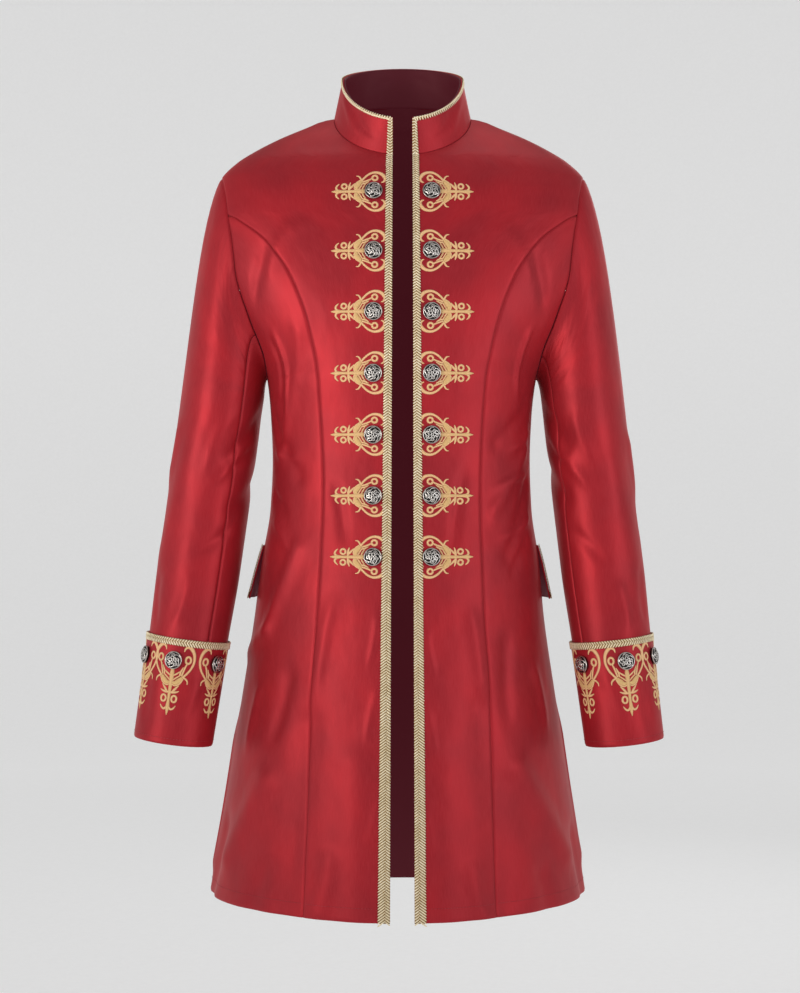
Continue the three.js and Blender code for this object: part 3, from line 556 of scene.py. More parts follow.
def sleeve_head(side, turn):
    """Where the sleeve is set in: points on the armhole's edge, and how the cloth leaves."""
    sign = SIDES[side]

    def place(at):
        angle, z = armhole(at)
        return trunk_point(sign * angle, z) * [sign, 1, 1]

    point = place(turn)
    angle, z = armhole(turn)
    away = unit_of(np.cross(place(turn + 0.05) - place(turn - 0.05), trunk_normal(angle, z)))
    away *= np.where(np.sum(away * (ARMHOLE_HUB - point), -1) < 0, -1.0, 1.0)[..., None]
    top = (((1 - np.cos(turn)) / 2) ** 2)[..., None]
    zero = np.zeros_like(turn)
    outward = np.stack([zero + 1, zero, -HEAD_DROOP * np.abs(np.sin(turn))], -1)
    return point - away * SLEEVE_TUCK, unit_of(away * top + outward * (1 - top))


def axis_down(side):
    return unit_of(np.array([OUTWARD[side], 0.0, -1.0]))


def sleeve_ring(side, turn, down):
    half_width, half_depth, forward = np.stack(
        look_up(SLEEVE_SECTIONS, down, "half_width", "half_depth", "forward")
    )[..., None]
    out = unit_of(np.array([1.0, 0.0, OUTWARD[side]]))
    centre = np.array([SLEEVE["x"], 0.0, SLEEVE["z"]]) + axis_down(side) * down[..., None]
    across = -half_width * np.cos(turn)[..., None] * out
    ahead = (forward - half_depth * np.sin(turn)[..., None]) * [0.0, 1.0, 0.0]
    return centre + across + ahead


def bare_sleeve(side, turn, length):
    """The sleeve by turns round it and by length: -1 at the armhole to 0 at the biceps, then
    millimetres down the axis. It is given for the wearer's left."""
    turn, length = np.broadcast_arrays(turn, length)
    ring = sleeve_ring(side, turn, np.maximum(length, 0.0))
    if not (length < 0).any():
        return ring
    point, leave = sleeve_head(side, turn)
    chord = np.linalg.norm(ring - point, axis=-1, keepdims=True)
    t = np.clip(1 + length, 0, 1)[..., None]
    cap = hermite(point, leave * HEAD_FULLNESS * chord, ring, axis_down(side) * chord, t)
    return np.where((length < 0)[..., None], cap, ring)


def sleeve_point(side, turn, length, lift=0.0):
    turn, length = np.broadcast_arrays(np.asarray(turn, float), np.asarray(length, float))
    step = np.where(length < 0, 0.04, 2.0)
    above = np.where(length < 0, np.maximum(-1, length - step), length - np.minimum(step, length))
    across = bare_sleeve(side, turn + TURN_STEP, length)
    across = across - bare_sleeve(side, turn - TURN_STEP, length)
    along = bare_sleeve(side, turn, above) - bare_sleeve(side, turn, length + step)
    normal = unit_of(np.cross(across, along))
    settle = np.clip(length / 25, 0, 1)
    fold = fold_height(SLEEVE_FOLDS[side], np.degrees(turn), np.maximum(length, 0.0)) * settle
    point = bare_sleeve(side, turn, length) + normal * (lift + fold)[..., None]
    return point * [SIDES[side], 1, 1]


# ------------------------------------------------------------------ meshes
def setting(name):
    """A size of the coat's settings in millimetres, or a colour as linear RGBA."""
    value = getattr(bpy.context.scene.tailcoat, name)
    return value / MM if isinstance(value, float) else (*value, 1.0)


def surface_uv(points):
    """Places along the cloth, in metres, for a grid of points: across each row from its middle,
    and up the middle column."""
    paces = np.linalg.norm(np.diff(points, axis=1), axis=2)
    across = np.concatenate([np.zeros((len(points), 1)), np.cumsum(paces, axis=1)], axis=1)
    across -= across[:, -1:] / 2
    middle = points[:, points.shape[1] // 2]
    climbs = np.linalg.norm(np.diff(middle, axis=0), axis=1)
    up = np.concatenate([[0.0], np.cumsum(climbs)])
    return np.stack([across, np.repeat(up[:, None], points.shape[1], 1)], -1) * MM


def grid_faces(rows, count, wrap=False):
    """Corners of the faces between the rows of a grid."""
    near = np.arange(rows * count).reshape(rows, count)
    if wrap:
        near = np.concatenate([near, near[:, :1]], axis=1)
    corners = [near[:-1, :-1], near[:-1, 1:], near[1:, 1:], near[1:, :-1]]
    return np.stack([corner.ravel() for corner in corners], -1)


def bar_faces(rows, count, start=0):
    """Faces of a closed bar: its sides, and a cap over its first and its last ring of points."""
    faces = (grid_faces(rows, count, wrap=True) + start).tolist()
    ring = list(range(start, start + count))
    return faces + [ring[::-1], [(rows - 1) * count + i for i in ring]]


def fresh_mesh(name, points, faces, uv=None, marks=None):
    """A smooth mesh in metres from points in millimetres, with its UV map and point marks."""
    mesh = bpy.data.meshes.new(name)
    flat_points = np.asarray(points, float).reshape(-1, 3) * MM
    mesh.from_pydata(flat_points.tolist(), [], faces)
    if uv is not None:
        corner_points = np.zeros(len(mesh.loops), np.int32)
        mesh.loops.foreach_get("vertex_index", corner_points)
        layer = mesh.uv_layers.new(name="cloth")
        places = np.asarray(uv).reshape(-1, 2)[corner_points]
        layer.data.foreach_set("uv", places.ravel().astype(np.float32))
    for mark, values in (marks or {}).items():
        layer = mesh.attributes.new(mark, "FLOAT", "POINT")
        layer.data.foreach_set("value", np.asarray(values, np.float32).ravel())
    mesh.polygons.foreach_set("use_smooth", np.ones(len(mesh.polygons), bool))
    mesh.update()
    return mesh


def mend(mesh, weld=None):
    """Joins points that lie within a distance in metres, where rows run out into a tip, or
    without one turns the faces of a closed mesh outwards."""
    work = bmesh.new()
    work.from_mesh(mesh)
    if weld:
        bmesh.ops.remove_doubles(work, verts=work.verts[:], dist=weld)
        bmesh.ops.dissolve_degenerate(work, edges=work.edges[:], dist=weld)
    else:
        bmesh.ops.recalc_face_normals(work, faces=work.faces[:])
    work.to_mesh(mesh)
    work.free()
    return mesh


def add_to_scene(name, data):
    thing = bpy.data.objects.new(name, data)
    bpy.context.scene.collection.objects.link(thing)
    return thing


def new_piece(mesh, *materials):
    piece = add_to_scene(mesh.name, mesh)
    for material in materials:
        piece.data.materials.append(material)
    return piece


def claim(piece, slot, *nodes):
    """Says what the piece rides on, and hides the frame's nodes that it stands for. Its slot is not
    used.
    """
    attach(piece, "root")
    if nodes:
        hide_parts(*nodes)
    return piece


def grid_area(points):
    """Area of a grid of points in square metres."""
    first = np.cross(points[1:, 1:] - points[:-1, :-1], points[1:, :-1] - points[:-1, 1:])
    return float(np.linalg.norm(first, axis=2).sum() / 2) * MM * MM


def cut_of(points, wrap=False):
    """The flat width, length and area that a piece is cut to, from its fold-free form."""
    loop = np.concatenate([points, points[:, :1]], axis=1) if wrap else points
    width = np.linalg.norm(np.diff(loop, axis=1), axis=2).sum(axis=1).max() * MM
    length = np.linalg.norm(np.diff(loop, axis=0), axis=2).sum(axis=0).max() * MM
    area = min(grid_area(loop), width * length)
    return (round(float(width), 4), round(float(length), 4)), round(area, 5)


# Each cloth piece with its flat size, and the separate pieces that are sewn on it.
CUTS = {}
SEWN_ON = {}
# Points of a cloth mesh that lie this near, in metres, are one.
WELD = 0.00002


def cloth_piece(name, points, plain, face="satin", thickness=None, wrap=False):
    """One sewn piece of cloth that replaces its node. plain is the same grid without folds. Its
    wall goes inwards from the outer face, and its inner face is lined."""
    around = np.concatenate([points, points[:, :1]], axis=1) if wrap else points
    faces = grid_faces(*around.shape[:2]).tolist()
    mesh = fresh_mesh(name + "_cloth", around, faces, surface_uv(around))
    piece = new_piece(mend(mesh, WELD), finish_of(face), finish_of("lining"))
    wall = piece.modifiers.new("cloth wall", "SOLIDIFY")
    wall.thickness = (thickness or setting("cloth_thickness")) * MM
    wall.offset = -1.0
    wall.use_rim = True
    wall.material_offset = 1
    claim(piece, face, name)
    CUTS[name] = (piece, *cut_of(plain, wrap))


def sew_on(carrier, piece, slot, *nodes):
    """Claims a separate piece and notes the cloth piece that it is sewn on."""
    SEWN_ON.setdefault(carrier, []).append(claim(piece, slot, *nodes))


# ------------------------------------------------------------------ materials
def linear(code):
    """An sRGB hex colour as linear RGBA."""
    parts = [int(code.lstrip("#")[i:i + 2], 16) / 255 for i in (0, 2, 4)]
    return (*[c / 12.92 if c <= 0.04045 else ((c + 0.055) / 1.055) ** 2.4 for c in parts], 1.0)


def add_node(tree, kind, inputs=None, **settings):
    """Adds a node, applies its settings, and sets or links its inputs by name or number. A hex
    colour is made linear."""
    node = tree.nodes.new(kind)
    for name, value in settings.items():
        setattr(node, name, value)
    for name, value in (inputs or {}).items():
        if isinstance(value, bpy.types.NodeSocket):
            tree.links.new(value, node.inputs[name])
        else:
            is_colour = isinstance(value, str) and value.startswith("#")
            node.inputs[name].default_value = linear(value) if is_colour else value
    return node


def make_material(name, work_out):
    """A material whose shader takes what work_out gives for its inputs, in the tree it is given."""
    material = bpy.data.materials.new(name)
    material.use_nodes = True
    tree = material.node_tree
    tree.nodes.clear()
    shader = add_node(tree, "ShaderNodeBsdfPrincipled", work_out(tree))
    add_node(tree, "ShaderNodeOutputMaterial", {"Surface": shader.outputs[0]})
    return material


def per_mm(across, along):
    """The scale at which one step of a pattern is so many millimetres across and along."""
    return (1 / (across * MM), 1 / (along * MM), 1 / (across * MM))


def patterns(tree, place, *sizes):
    """A cloudy pattern for each size: millimetres across and along, and how finely it is broken."""
    for across, along, detail in sizes:
        place_and_size = {"Vector": place, "Scale": per_mm(across, along)}
        laid = add_node(tree, "ShaderNodeMapping", place_and_size).outputs[0]
        noise = {"Vector": laid, "Scale": 1.0, "Detail": detail}
        yield add_node(tree, "ShaderNodeTexNoise", noise).outputs[0]


def surface(tree, colour, layers, shader, bumps=()):
    """The inputs of the shader. Each layer over the first colour is a pattern, the two values
    between which it comes in, its greatest share and its colour. A tuple that starts with a
    pattern is spread in the same way, from one value to another. Each bump is a pattern, its
    depth in millimetres and its strength."""
    for pattern, low, high, most, over in layers:
        share = add_node(tree, "ShaderNodeMapRange",
                         {0: pattern, 1: low, 2: high, 3: 0.0, 4: most}).outputs[0]
        colour = add_node(tree, "ShaderNodeMix", {0: share, 6: colour, 7: over},
                          data_type="RGBA").outputs[2]
    inputs = {"Base Color": colour}
    for name, value in shader.items():
        if isinstance(value, tuple):
            spread = dict(enumerate(value))
            value = add_node(tree, "ShaderNodeMapRange", spread).outputs[0]
        inputs[name] = value
    for pattern, depth, strength in bumps:
        bump = {"Height": pattern, "Distance": depth * MM, "Strength": strength}
        if "Normal" in inputs:
            bump["Normal"] = inputs["Normal"]
        inputs["Normal"] = add_node(tree, "ShaderNodeBump", bump).outputs[0]
    return inputs


def woven_satin(tree):
    """Polyester duchesse satin, woven with long warp floats and pressed: the floats lie side by
    side, so the cloth has a broad soft gloss in its own red, with faint slubs along the warp and
    painted sheen in lighter streaks along the floats."""
    uv = add_node(tree, "ShaderNodeUVMap", uv_map="cloth").outputs[0]
    floats, slubs, clouds, rumples = patterns(
        tree, uv,
        # warp floats are 0.15 mm apart; drawn 0.9 mm wide and 14 mm long so that they show
        (0.9, 14.0, 3.0),
        # slubs: thicker lengths of yarn some 60 mm long
        (3.0, 60.0, 2.0),
        # the dye and the press leave cloudy patches some 70 mm wide
        (70.0, 90.0, 2.0),
        # soft rumples 22 mm across, which the press leaves in a thin cloth
        (22.0, 38.0, 1.5),
    )
    return surface(tree, setting("satin_shade"), [
        (clouds, 0.35, 0.65, 1.0, setting("satin_face")),
        (slubs, 0.4, 0.62, 0.12, setting("satin_shade")),
        # lighter red streaks along the floats: painted sheen
        (floats, 0.35, 0.7, 0.16, "#cc474f"),
    ], {
        "Roughness": (floats, 0.3, 0.7, 0.41, 0.49), "Metallic": 0.3, "Specular IOR Level": 0.5,
        "Specular Tint": "#ff9a96", "Sheen Weight": 0.08, "Sheen Tint": "#ff8a8a",
    }, [(rumples, 1.6, 0.55), (floats, 0.05, 0.5)])


def lining_cloth(tree):
    """Viscose lining in plain weave, pressed: dark maroon with a dull gloss, faint threads and a
    faint glow of painted light.
    """
    uv = add_node(tree, "ShaderNodeUVMap", uv_map="cloth").outputs[0]
    # threads are 0.2 mm apart; drawn 1.2 mm apart so that they show
    weave, clouds = patterns(tree, uv, (1.2, 5.0, 2.0), (50.0, 80.0, 2.0))
    # the glow is painted light: it stands in for the light that comes through the thin cloth and
    # keeps the shaded inside from black
    return surface(tree, setting("lining"), [
        (clouds, 0.35, 0.65, 1.0, "#340f15"), (weave, 0.35, 0.7, 0.25, "#40131a"),
    ], {
        "Roughness": (weave, 0.3, 0.7, 0.5, 0.62), "Specular Tint": "#c98a90",
        # painted light: the lining's own glow
        "Emission Color": "#45141c", "Emission Strength": 0.72,
    }, [(weave, 0.06, 0.6)])


def gold_thread(tree, deep, pale, roughness):
    """Metallised thread wound on a cotton core: small pale patches are painted glints, and the
    olive gold between them is painted shade in the gaps."""
    place = add_node(tree, "ShaderNodeTexCoord").outputs["Object"]
    # the wound foil breaks the gloss every 0.9 mm or so, and wear dulls it in patches
    glints, wear = patterns(tree, place, (0.9, 0.9, 2.0), (18.0, 18.0, 2.0))
    # the first colour layer is wear; the second paints glints pale and the gaps olive gold, as
    # painted highlight and painted shade
    return surface(tree, pale, [
        (wear, 0.35, 0.65, 0.35, deep), (glints, 0.5, 0.72, 0.75, deep),
    ], {
        "Roughness": (glints, 0.3, 0.7, roughness - 0.08, roughness + 0.1), "Metallic": 0.35,
        "Specular Tint": "#ffe9b8",
    }, [(glints, 0.12, 0.5)])


def embroidery_thread(tree):
    """Rayon embroidery thread in satin stitch over a cord: peach gold, with the stitches lying
    across each stroke. Filled leaves are worked in a duller metallic gold, and the rim of every
    cord is painted dark red as painted shade where it meets the cloth."""
    uv = add_node(tree, "ShaderNodeUVMap", uv_map="cloth").outputs[0]
    # stitches lie 0.35 mm apart; drawn 0.8 mm apart so that they show
    place_and_size = {"Vector": uv, "Scale": per_mm(0.8, 40.0)}
    laid = add_node(tree, "ShaderNodeMapping", place_and_size).outputs[0]
    stitches = add_node(tree, "ShaderNodeTexWave", {
        "Vector": laid, "Scale": math.pi / 10, "Distortion": 0.6, "Detail": 1.0,
    }, wave_type="BANDS", bands_direction="X").outputs[1]
    filled, rim = (add_node(tree, "ShaderNodeAttribute", attribute_name=mark).outputs["Fac"]
                   for mark in ("filled", "rim"))
    leaf = add_node(tree, "ShaderNodeMix", {0: stitches, 6: "#cfa264", 7: "#f0cb90"},
                    data_type="RGBA").outputs[2]
    return surface(tree, "#e0a873", [
        (stitches, 0.0, 1.0, 1.0, setting("embroidery")), (filled, 0.0, 1.0, 1.0, leaf),
        # the rim of each cord: painted shade where it meets the cloth
        (rim, 0.0, 1.0, 1.0, "#9c4a38"),
    ], {
        "Roughness": 0.42, "Specular Tint": "#ffe2b5", "Sheen Weight": 0.1,
    }, [(stitches, 0.15, 0.6)])


def sewing_thread(tree):
    """Spun polyester sewing thread in the cloth's red, a little deeper than the satin."""
    place = add_node(tree, "ShaderNodeTexCoord").outputs["Object"]
    # the twist turns every 0.7 mm
    [twist] = patterns(tree, place, (0.7, 0.7, 1.0))
    return surface(tree, "#8c1f28", [(twist, 0.4, 0.6, 1.0, "#b23a42")], {"Roughness": 0.55},
                   [(twist, 0.05, 0.5)])


def antique_silver(tree):
    """Zinc alloy, cast, silver plated and blackened, then buffed: black in the recesses, bright
    and slightly warm on the worn high relief."""
    relief = add_node(tree, "ShaderNodeAttribute", attribute_name="relief").outputs["Fac"]
    place = add_node(tree, "ShaderNodeTexCoord").outputs["Object"]
    # the casting's grit is 0.8 mm across
    [grit] = patterns(tree, place, (0.8, 0.8, 3.0))
    return surface(tree, "#090808", [
        (relief, 0.2, 0.52, 1.0, "#2b2827"), (relief, 0.52, 0.76, 1.0, "#8a8480"),
        (relief, 0.76, 0.96, 1.0, "#efeae4"), (grit, 0.45, 0.7, 0.45, "#3b3734"),
    ], {
        "Roughness": (relief, 0.2, 0.8, 0.62, 0.3), "Metallic": (relief, 0.2, 0.6, 0.5, 1.0),
    }, [(grit, 0.06, 0.4)])


def studio_paper(tree):
    """Matt seamless paper: an even pale grey with a faint fibre."""
    place = add_node(tree, "ShaderNodeTexCoord").outputs["Object"]
    # the fibre makes faint clouds 12 mm across
    [fibre] = patterns(tree, place, (12.0, 12.0, 2.0))
    return surface(tree, "#c9c9c9", [(fibre, 0.3, 0.7, 1.0, "#cccccc")], {
        "Roughness": 0.95, "Emission Color": "#dedede", "Emission Strength": PAPER_GLOW,
    })


# The paper's own light, which keeps the background as even as in a studio with lit walls.
PAPER_GLOW = 0.52
FINISHES = {
    "satin": ("duchesse satin, woven", woven_satin),
    "lining": ("viscose lining, plain weave", lining_cloth),
    "braid": ("metallised braid, plaited",
              lambda tree: gold_thread(tree, "#d8be8a", setting("braid"), 0.42)),
    "braid ground": ("metallised braid ground, plaited",
                     lambda tree: gold_thread(tree, "#6d4f2c", "#967548", 0.55)),
    "thread": ("rayon thread, satin stitch", embroidery_thread),
    "sewing thread": ("polyester sewing thread, spun", sewing_thread),
    "silver": ("zinc alloy, cast, antique silver plate", antique_silver),
    "paper": ("seamless paper, matt", studio_paper),
}
MATERIALS = {}


def finish_of(name):
    """The named finish, made on first use."""
    if name not in MATERIALS:
        MATERIALS[name] = make_material(*FINISHES[name])
    return MATERIALS[name]


# ------------------------------------------------------------------ cloth of the trunk
def trunk_panel(name, rows, start, end, mirrored=False, rolls=(0.0, 1.0)):
    """A panel of the trunk between two lines. rolls says how far its first and last edges turn
    in, as shares of a seam's depth."""
    angles, from_start, from_end = panel_places(rows, start, end)
    lift = rolls[0] * rolled(from_start) + rolls[1] * rolled(from_end)
    lift = lift + rolled(rows - HEM_Z, depth=0.8, roll=1.5)[:, None]
    if mirrored:
        angles, lift = -angles[:, ::-1], lift[:, ::-1]
    heights = np.broadcast_to(rows[:, None], angles.shape)
    cloth_piece(name, trunk_point(angles, heights, lift), bare_trunk(angles, heights))


def make_fronts():
    side_rows = BODY_ROWS[BODY_ROWS <= PRINCESS_TOP + 0.001]
    rows = np.append(BODY_ROWS, SHOULDER_TIP_Z)
    for side, sign in SIDES.items():
        mirrored = sign < 0
        inner, outer = front_inner_angle(rows), front_outer_angle(rows)
        trunk_panel(f"front_{side}", rows, inner, outer, mirrored)
        start, end = princess_angle(side_rows), side_angle(side_rows, False)
        start[-1] = end[-1]
        trunk_panel(f"side_front_{side}", side_rows, start, end, mirrored, (1.0, 1.0))


def make_back():
    rows = np.concatenate([BODY_ROWS, NAPE_ROWS])
    end = back_end_angle(rows)
    trunk_panel("back", rows, end, 2 * np.pi - end, rolls=(1.0, 1.0))


def lining_point(angle, z, lift=0.0):
    slack = look_up(LINING_SLACK, z, "slack")
    folds = fold_height(LINING_FOLDS, np.degrees(angle), z, MM_PER_DEGREE)
    depth = lift - setting("cloth_thickness") - slack + folds * np.clip((slack - 1) / 5, 0, 1)
    return bare_trunk(angle, z) + trunk_normal(angle, z) * np.asarray(depth)[..., None]


# Over the last of its height the back's lining stops short of the shoulder, so that it stays
# inside the collar. Insets are radians round the trunk.
NAPE_INSET = {"seam": 0.02, "neck": 0.16, "from_z": -16.0, "over": 12.0}
# The collar's lining, in shares of the collar's height. At the nape its foot reaches down behind
# the lining of the back.
COLLAR_LINING = {"foot": -0.035, "top": 0.98, "slack": 0.9, "reach": 96.0, "over": 16.0}


def make_linings():
    rows = np.concatenate([BODY_ROWS[::2], NAPE_ROWS])
    near_neck = smooth_step((rows - NAPE_INSET["from_z"]) / NAPE_INSET["over"])
    end = back_end_angle(rows) + NAPE_INSET["seam"] + NAPE_INSET["neck"] * near_neck
    angles = panel_places(rows, end, 2 * np.pi - end, 7.0)[0]
    heights = np.broadcast_to(rows[:, None], angles.shape)
    points = lining_point(angles, heights)
    cloth_piece("lining_back", points, points, "lining", LINING)
    degrees = np.linspace(NECK_START, 360 - NECK_START, 101)[None]
    from_nape = np.abs(degrees - 180)
    near_nape = smooth_step((COLLAR_LINING["reach"] - from_nape) / COLLAR_LINING["over"])
    foot = COLLAR_LINING["foot"] * near_nape
    rises = foot + (COLLAR_LINING["top"] - foot) * np.linspace(0, 1, 21)[:, None]
    outside = collar_point(degrees, rises)
    inward = unit_of(outside * [-1.0, -1.0, 0.0])
    points = outside + inward * (setting("cloth_thickness") + COLLAR_LINING["slack"])
    cloth_piece("lining_collar", points, points, "lining", LINING)


def make_collar():
    near = NECK_START + np.array([0.0, 0.5, 1.1, 2.0])
    degrees = np.concatenate([near, np.linspace(near[-1], 360 - near[-1], 103)[1:-1],
                              360 - near[::-1]])[None]
    foot = np.array([0.0, 0.008, 0.018, 0.03, 0.045])
    rises = np.concatenate([foot, np.linspace(0.07, 0.95, 19), [0.975, 0.99, 1.0]])[:, None]
    lift = rolled(rises * COLLAR_HEIGHT, depth=0.6, roll=1.2)
    lift = lift + rolled((1 - rises) * COLLAR_HEIGHT, depth=0.5, roll=1.2)
    cloth_piece("collar", collar_point(degrees, rises, lift), bare_collar(degrees, rises))


# ------------------------------------------------------------------ sleeves, cuffs and flaps
CAP_STEPS = np.array([0, 0.006, 0.013, 0.022, 0.036, 0.06, 0.1, 0.16, 0.23, 0.3, 0.38, 0.46,
                      0.54, 0.62, 0.7, 0.78, 0.86, 0.93])
# The sleeve's head is about so long from the armhole to the biceps.
HEAD_RUN = 110.0
CUFF_TOP = SLEEVE["length"] - CUFF["height"]


def facing_out(side, points):
    """Rows of a sleeve run down it, so they are turned to make the faces point outwards."""
    turned = points[::-1]
    return turned[:, ::-1] if SIDES[side] < 0 else turned


def sleeve_part(name, side, start, end):
    near = EDGE_STEPS + 0.17
    count = round((end - start) / 4.7)
    inner = np.linspace(start + near[-1], end - near[-1], count)[1:-1]
    degrees = np.concatenate([start + near, inner, end - near[::-1]])[None]
    lengths = np.concatenate([CAP_STEPS - 1, np.linspace(0, SLEEVE["length"], 92)])[:, None]
    lift = rolled(np.minimum(degrees - start, end - degrees))
    lift = lift + rolled(np.clip(lengths + 1, 0, 1) * HEAD_RUN, depth=1.1, roll=2.0)
    points = sleeve_point(side, np.radians(degrees), lengths, lift)
    plain = bare_sleeve(side, np.radians(degrees), lengths)
    cloth_piece(name, facing_out(side, points), plain[::-1])


def make_sleeves():
    for side in SIDES:
        sleeve_part(f"sleeve_top_{side}", side, FOREARM[side], 360 + SLEEVE["hindarm"])
        sleeve_part(f"sleeve_under_{side}", side, SLEEVE["hindarm"], FOREARM[side])


def make_cuffs():
    seam = 360 + SLEEVE["hindarm"]
    near_seam = seam + np.array([-3.2, -1.8, -0.8, 0.0, 0.8, 1.8, 3.2])
    even = np.arange(0, 360, 4.5)
    degrees = np.sort(np.concatenate([even[np.abs(even - seam) > 5], near_seam]))[None]
    foot = SLEEVE["length"] + CUFF["overhang"]
    lengths = np.concatenate([CUFF_TOP + np.array([0.0, 1.0, 2.2]),
                              np.linspace(CUFF_TOP + 5, foot - 4, 24),
                              foot - np.array([2.4, 1.2, 0.5, 0.0])])[:, None]
    lift = CUFF["lift"] + rolled(degrees - seam, depth=0.7, roll=1.5)
    lift = lift + rolled(foot - lengths, depth=0.7, roll=1.3)
    for side in SIDES:
        points = sleeve_point(side, np.radians(degrees), lengths, lift)
        plain = bare_sleeve(side, np.radians(degrees), lengths)
        cloth_piece(f"cuff_{side}", facing_out(side, points), plain[::-1], wrap=True)


def flap_point(side, degrees, fall, lift=0.0):
    z = FLAP["top"] + (FLAP["bottom"] - FLAP["top"]) * fall
    degrees, z, fall = np.broadcast_arrays(degrees, z, fall)
    stood = lift + FLAP["stand_off"] * fall
    return trunk_point(SIDES[side] * np.radians(degrees), z, stood)


def make_flaps():
    near = np.array([0.0, 0.25, 0.6, 1.0])
    degrees = np.concatenate([FLAP["front"] + near,
                              np.linspace(FLAP["front"] + 2, FLAP["back"] - 2, 27),
                              FLAP["back"] - near[::-1]])[None]
    falls = np.concatenate([np.linspace(0, 0.95, 15), [0.975, 0.99, 1.0]])[:, None]
    edge = np.minimum(degrees - FLAP["front"], FLAP["back"] - degrees) * MM_PER_DEGREE
    lift = LAID_ON + setting("cloth_thickness")
    for distance in (edge, (1 - falls) * FLAP["height"]):
        lift = lift + rolled(distance, depth=0.5, roll=1.2)
    for side in SIDES:
        points = facing_out(side, flap_point(side, degrees, falls, lift))
        cloth_piece(f"flap_{side}", points, points)


# ------------------------------------------------------------------ repeated small shapes
def scatter_tree():
    """Sets one shape at every point, along the point's own directions and at its own size."""
    tree = bpy.data.node_groups.new("set shape on points", "GeometryNodeTree")
    for name, kind in (("Geometry", "Geometry"), ("Shape", "Object"), ("Lift", "Float"),
                       ("Material", "Material")):
        tree.interface.new_socket(name, in_out="INPUT", socket_type="NodeSocket" + kind)
    tree.interface.new_socket("Geometry", in_out="OUTPUT", socket_type="NodeSocketGeometry")
    given = add_node(tree, "NodeGroupInput").outputs
    own = {}
    for name in ("ahead", "outward", "size"):
        kind = "GeometryNodeInputNamedAttribute"
        own[name] = add_node(tree, kind, {"Name": name}, data_type="FLOAT_VECTOR").outputs[0]
    rise = add_node(tree, "ShaderNodeVectorMath", {0: own["outward"], "Scale": given["Lift"]},
                    operation="SCALE").outputs[0]
    seated = add_node(tree, "GeometryNodeSetPosition",
                      {"Geometry": given["Geometry"], "Offset": rise}).outputs[0]
    along = add_node(tree, "FunctionNodeAlignRotationToVector", {"Vector": own["ahead"]},
                     axis="X").outputs[0]
    upright = add_node(tree, "FunctionNodeAlignRotationToVector",
                       {"Rotation": along, "Vector": own["outward"]},
                       axis="Z", pivot_axis="X").outputs[0]
    shape = add_node(tree, "GeometryNodeObjectInfo", {"Object": given["Shape"]})
    placed = add_node(tree, "GeometryNodeInstanceOnPoints", {
        "Points": seated, "Instance": shape.outputs["Geometry"],
        "Rotation": upright, "Scale": own["size"],
    }).outputs[0]
    real = add_node(tree, "GeometryNodeRealizeInstances", {"Geometry": placed}).outputs[0]
    inputs = {"Geometry": real, "Material": given["Material"]}
    finished = add_node(tree, "GeometryNodeSetMaterial", inputs).outputs[0]
    add_node(tree, "NodeGroupOutput", {"Geometry": finished})
    return tree


def scattered(name, shape, points, ahead, outward, sizes, material, lift=0.0):
    """A plain mesh of one shape set on points in millimetres."""
    tree = bpy.data.node_groups.get("set shape on points") or scatter_tree()
    mesh = bpy.data.meshes.new(name + "_points")
    points = np.asarray(points, float).reshape(-1, 3)
    mesh.from_pydata((points * MM).tolist(), [], [])
    vectors = {"ahead": ahead, "outward": outward, "size": sizes}
    for mark, values in vectors.items():
        layer = mesh.attributes.new(mark, "FLOAT_VECTOR", "POINT")
        full = np.broadcast_to(np.asarray(values, np.float32), points.shape)
        layer.data.foreach_set("vector", np.ascontiguousarray(full).ravel())
    carrier = new_piece(mesh)
    modifier = carrier.modifiers.new("set shape on points", "NODES")
    modifier.node_group = tree
    values = {"Shape": shape, "Lift": lift * MM, "Material": material}
    for socket in tree.interface.items_tree:
        if socket.in_out == "INPUT" and socket.name in values:
            modifier[socket.identifier] = values[socket.name]
    bpy.context.view_layer.update()
    graph = bpy.context.evaluated_depsgraph_get()
    made = bpy.data.meshes.new_from_object(carrier.evaluated_get(graph))
    made.name = name
    bpy.data.objects.remove(carrier)
    if not len(made.polygons):
        raise RuntimeError(f"{name} came out empty")
    for mark in vectors:
        if mark in made.attributes:
            made.attributes.remove(made.attributes[mark])
    made.polygons.foreach_set("use_smooth", np.ones(len(made.polygons), bool))
    return made


def bead_shape():
    """A rounded strand one unit long, wide and high, for thread and stitches, made on first use."""
    if "strand" in bpy.data.objects:
        return bpy.data.objects["strand"]
    rings, around = 4, 6
    turn = np.linspace(0, 2 * np.pi, around, endpoint=False)
    climb = np.linspace(0, np.pi, rings + 1)[1:-1]
    sweep = np.sin(climb)[:, None] ** 0.7
    across, up = sweep * np.cos(turn), sweep * np.sin(turn)
    along = np.broadcast_to(-np.cos(climb)[:, None], across.shape)
    body = np.stack([along, across, up], -1).reshape(-1, 3) / 2
    ends = np.array([[-0.5, 0, 0], [0.5, 0, 0]])
    faces = grid_faces(rings - 1, around, wrap=True).tolist()
    last = (rings - 2) * around
    for i in range(around):
        following = (i + 1) % around
        faces.append([len(body), following, i])
        faces.append([len(body) + 1, last + i, last + following])
    mesh = bpy.data.meshes.new("strand")
    mesh.from_pydata(np.concatenate([body, ends]).tolist(), [], faces)
    return new_piece(mend(mesh))


def join_meshes(name, meshes):
    """One piece from several meshes, which keep their materials."""
    parts = [new_piece(mesh) for mesh in meshes]
    with bpy.context.temp_override(active_object=parts[0], selected_editable_objects=parts):
        bpy.ops.object.join()
    parts[0].name = name
    parts[0].data.name = name
    return parts[0]


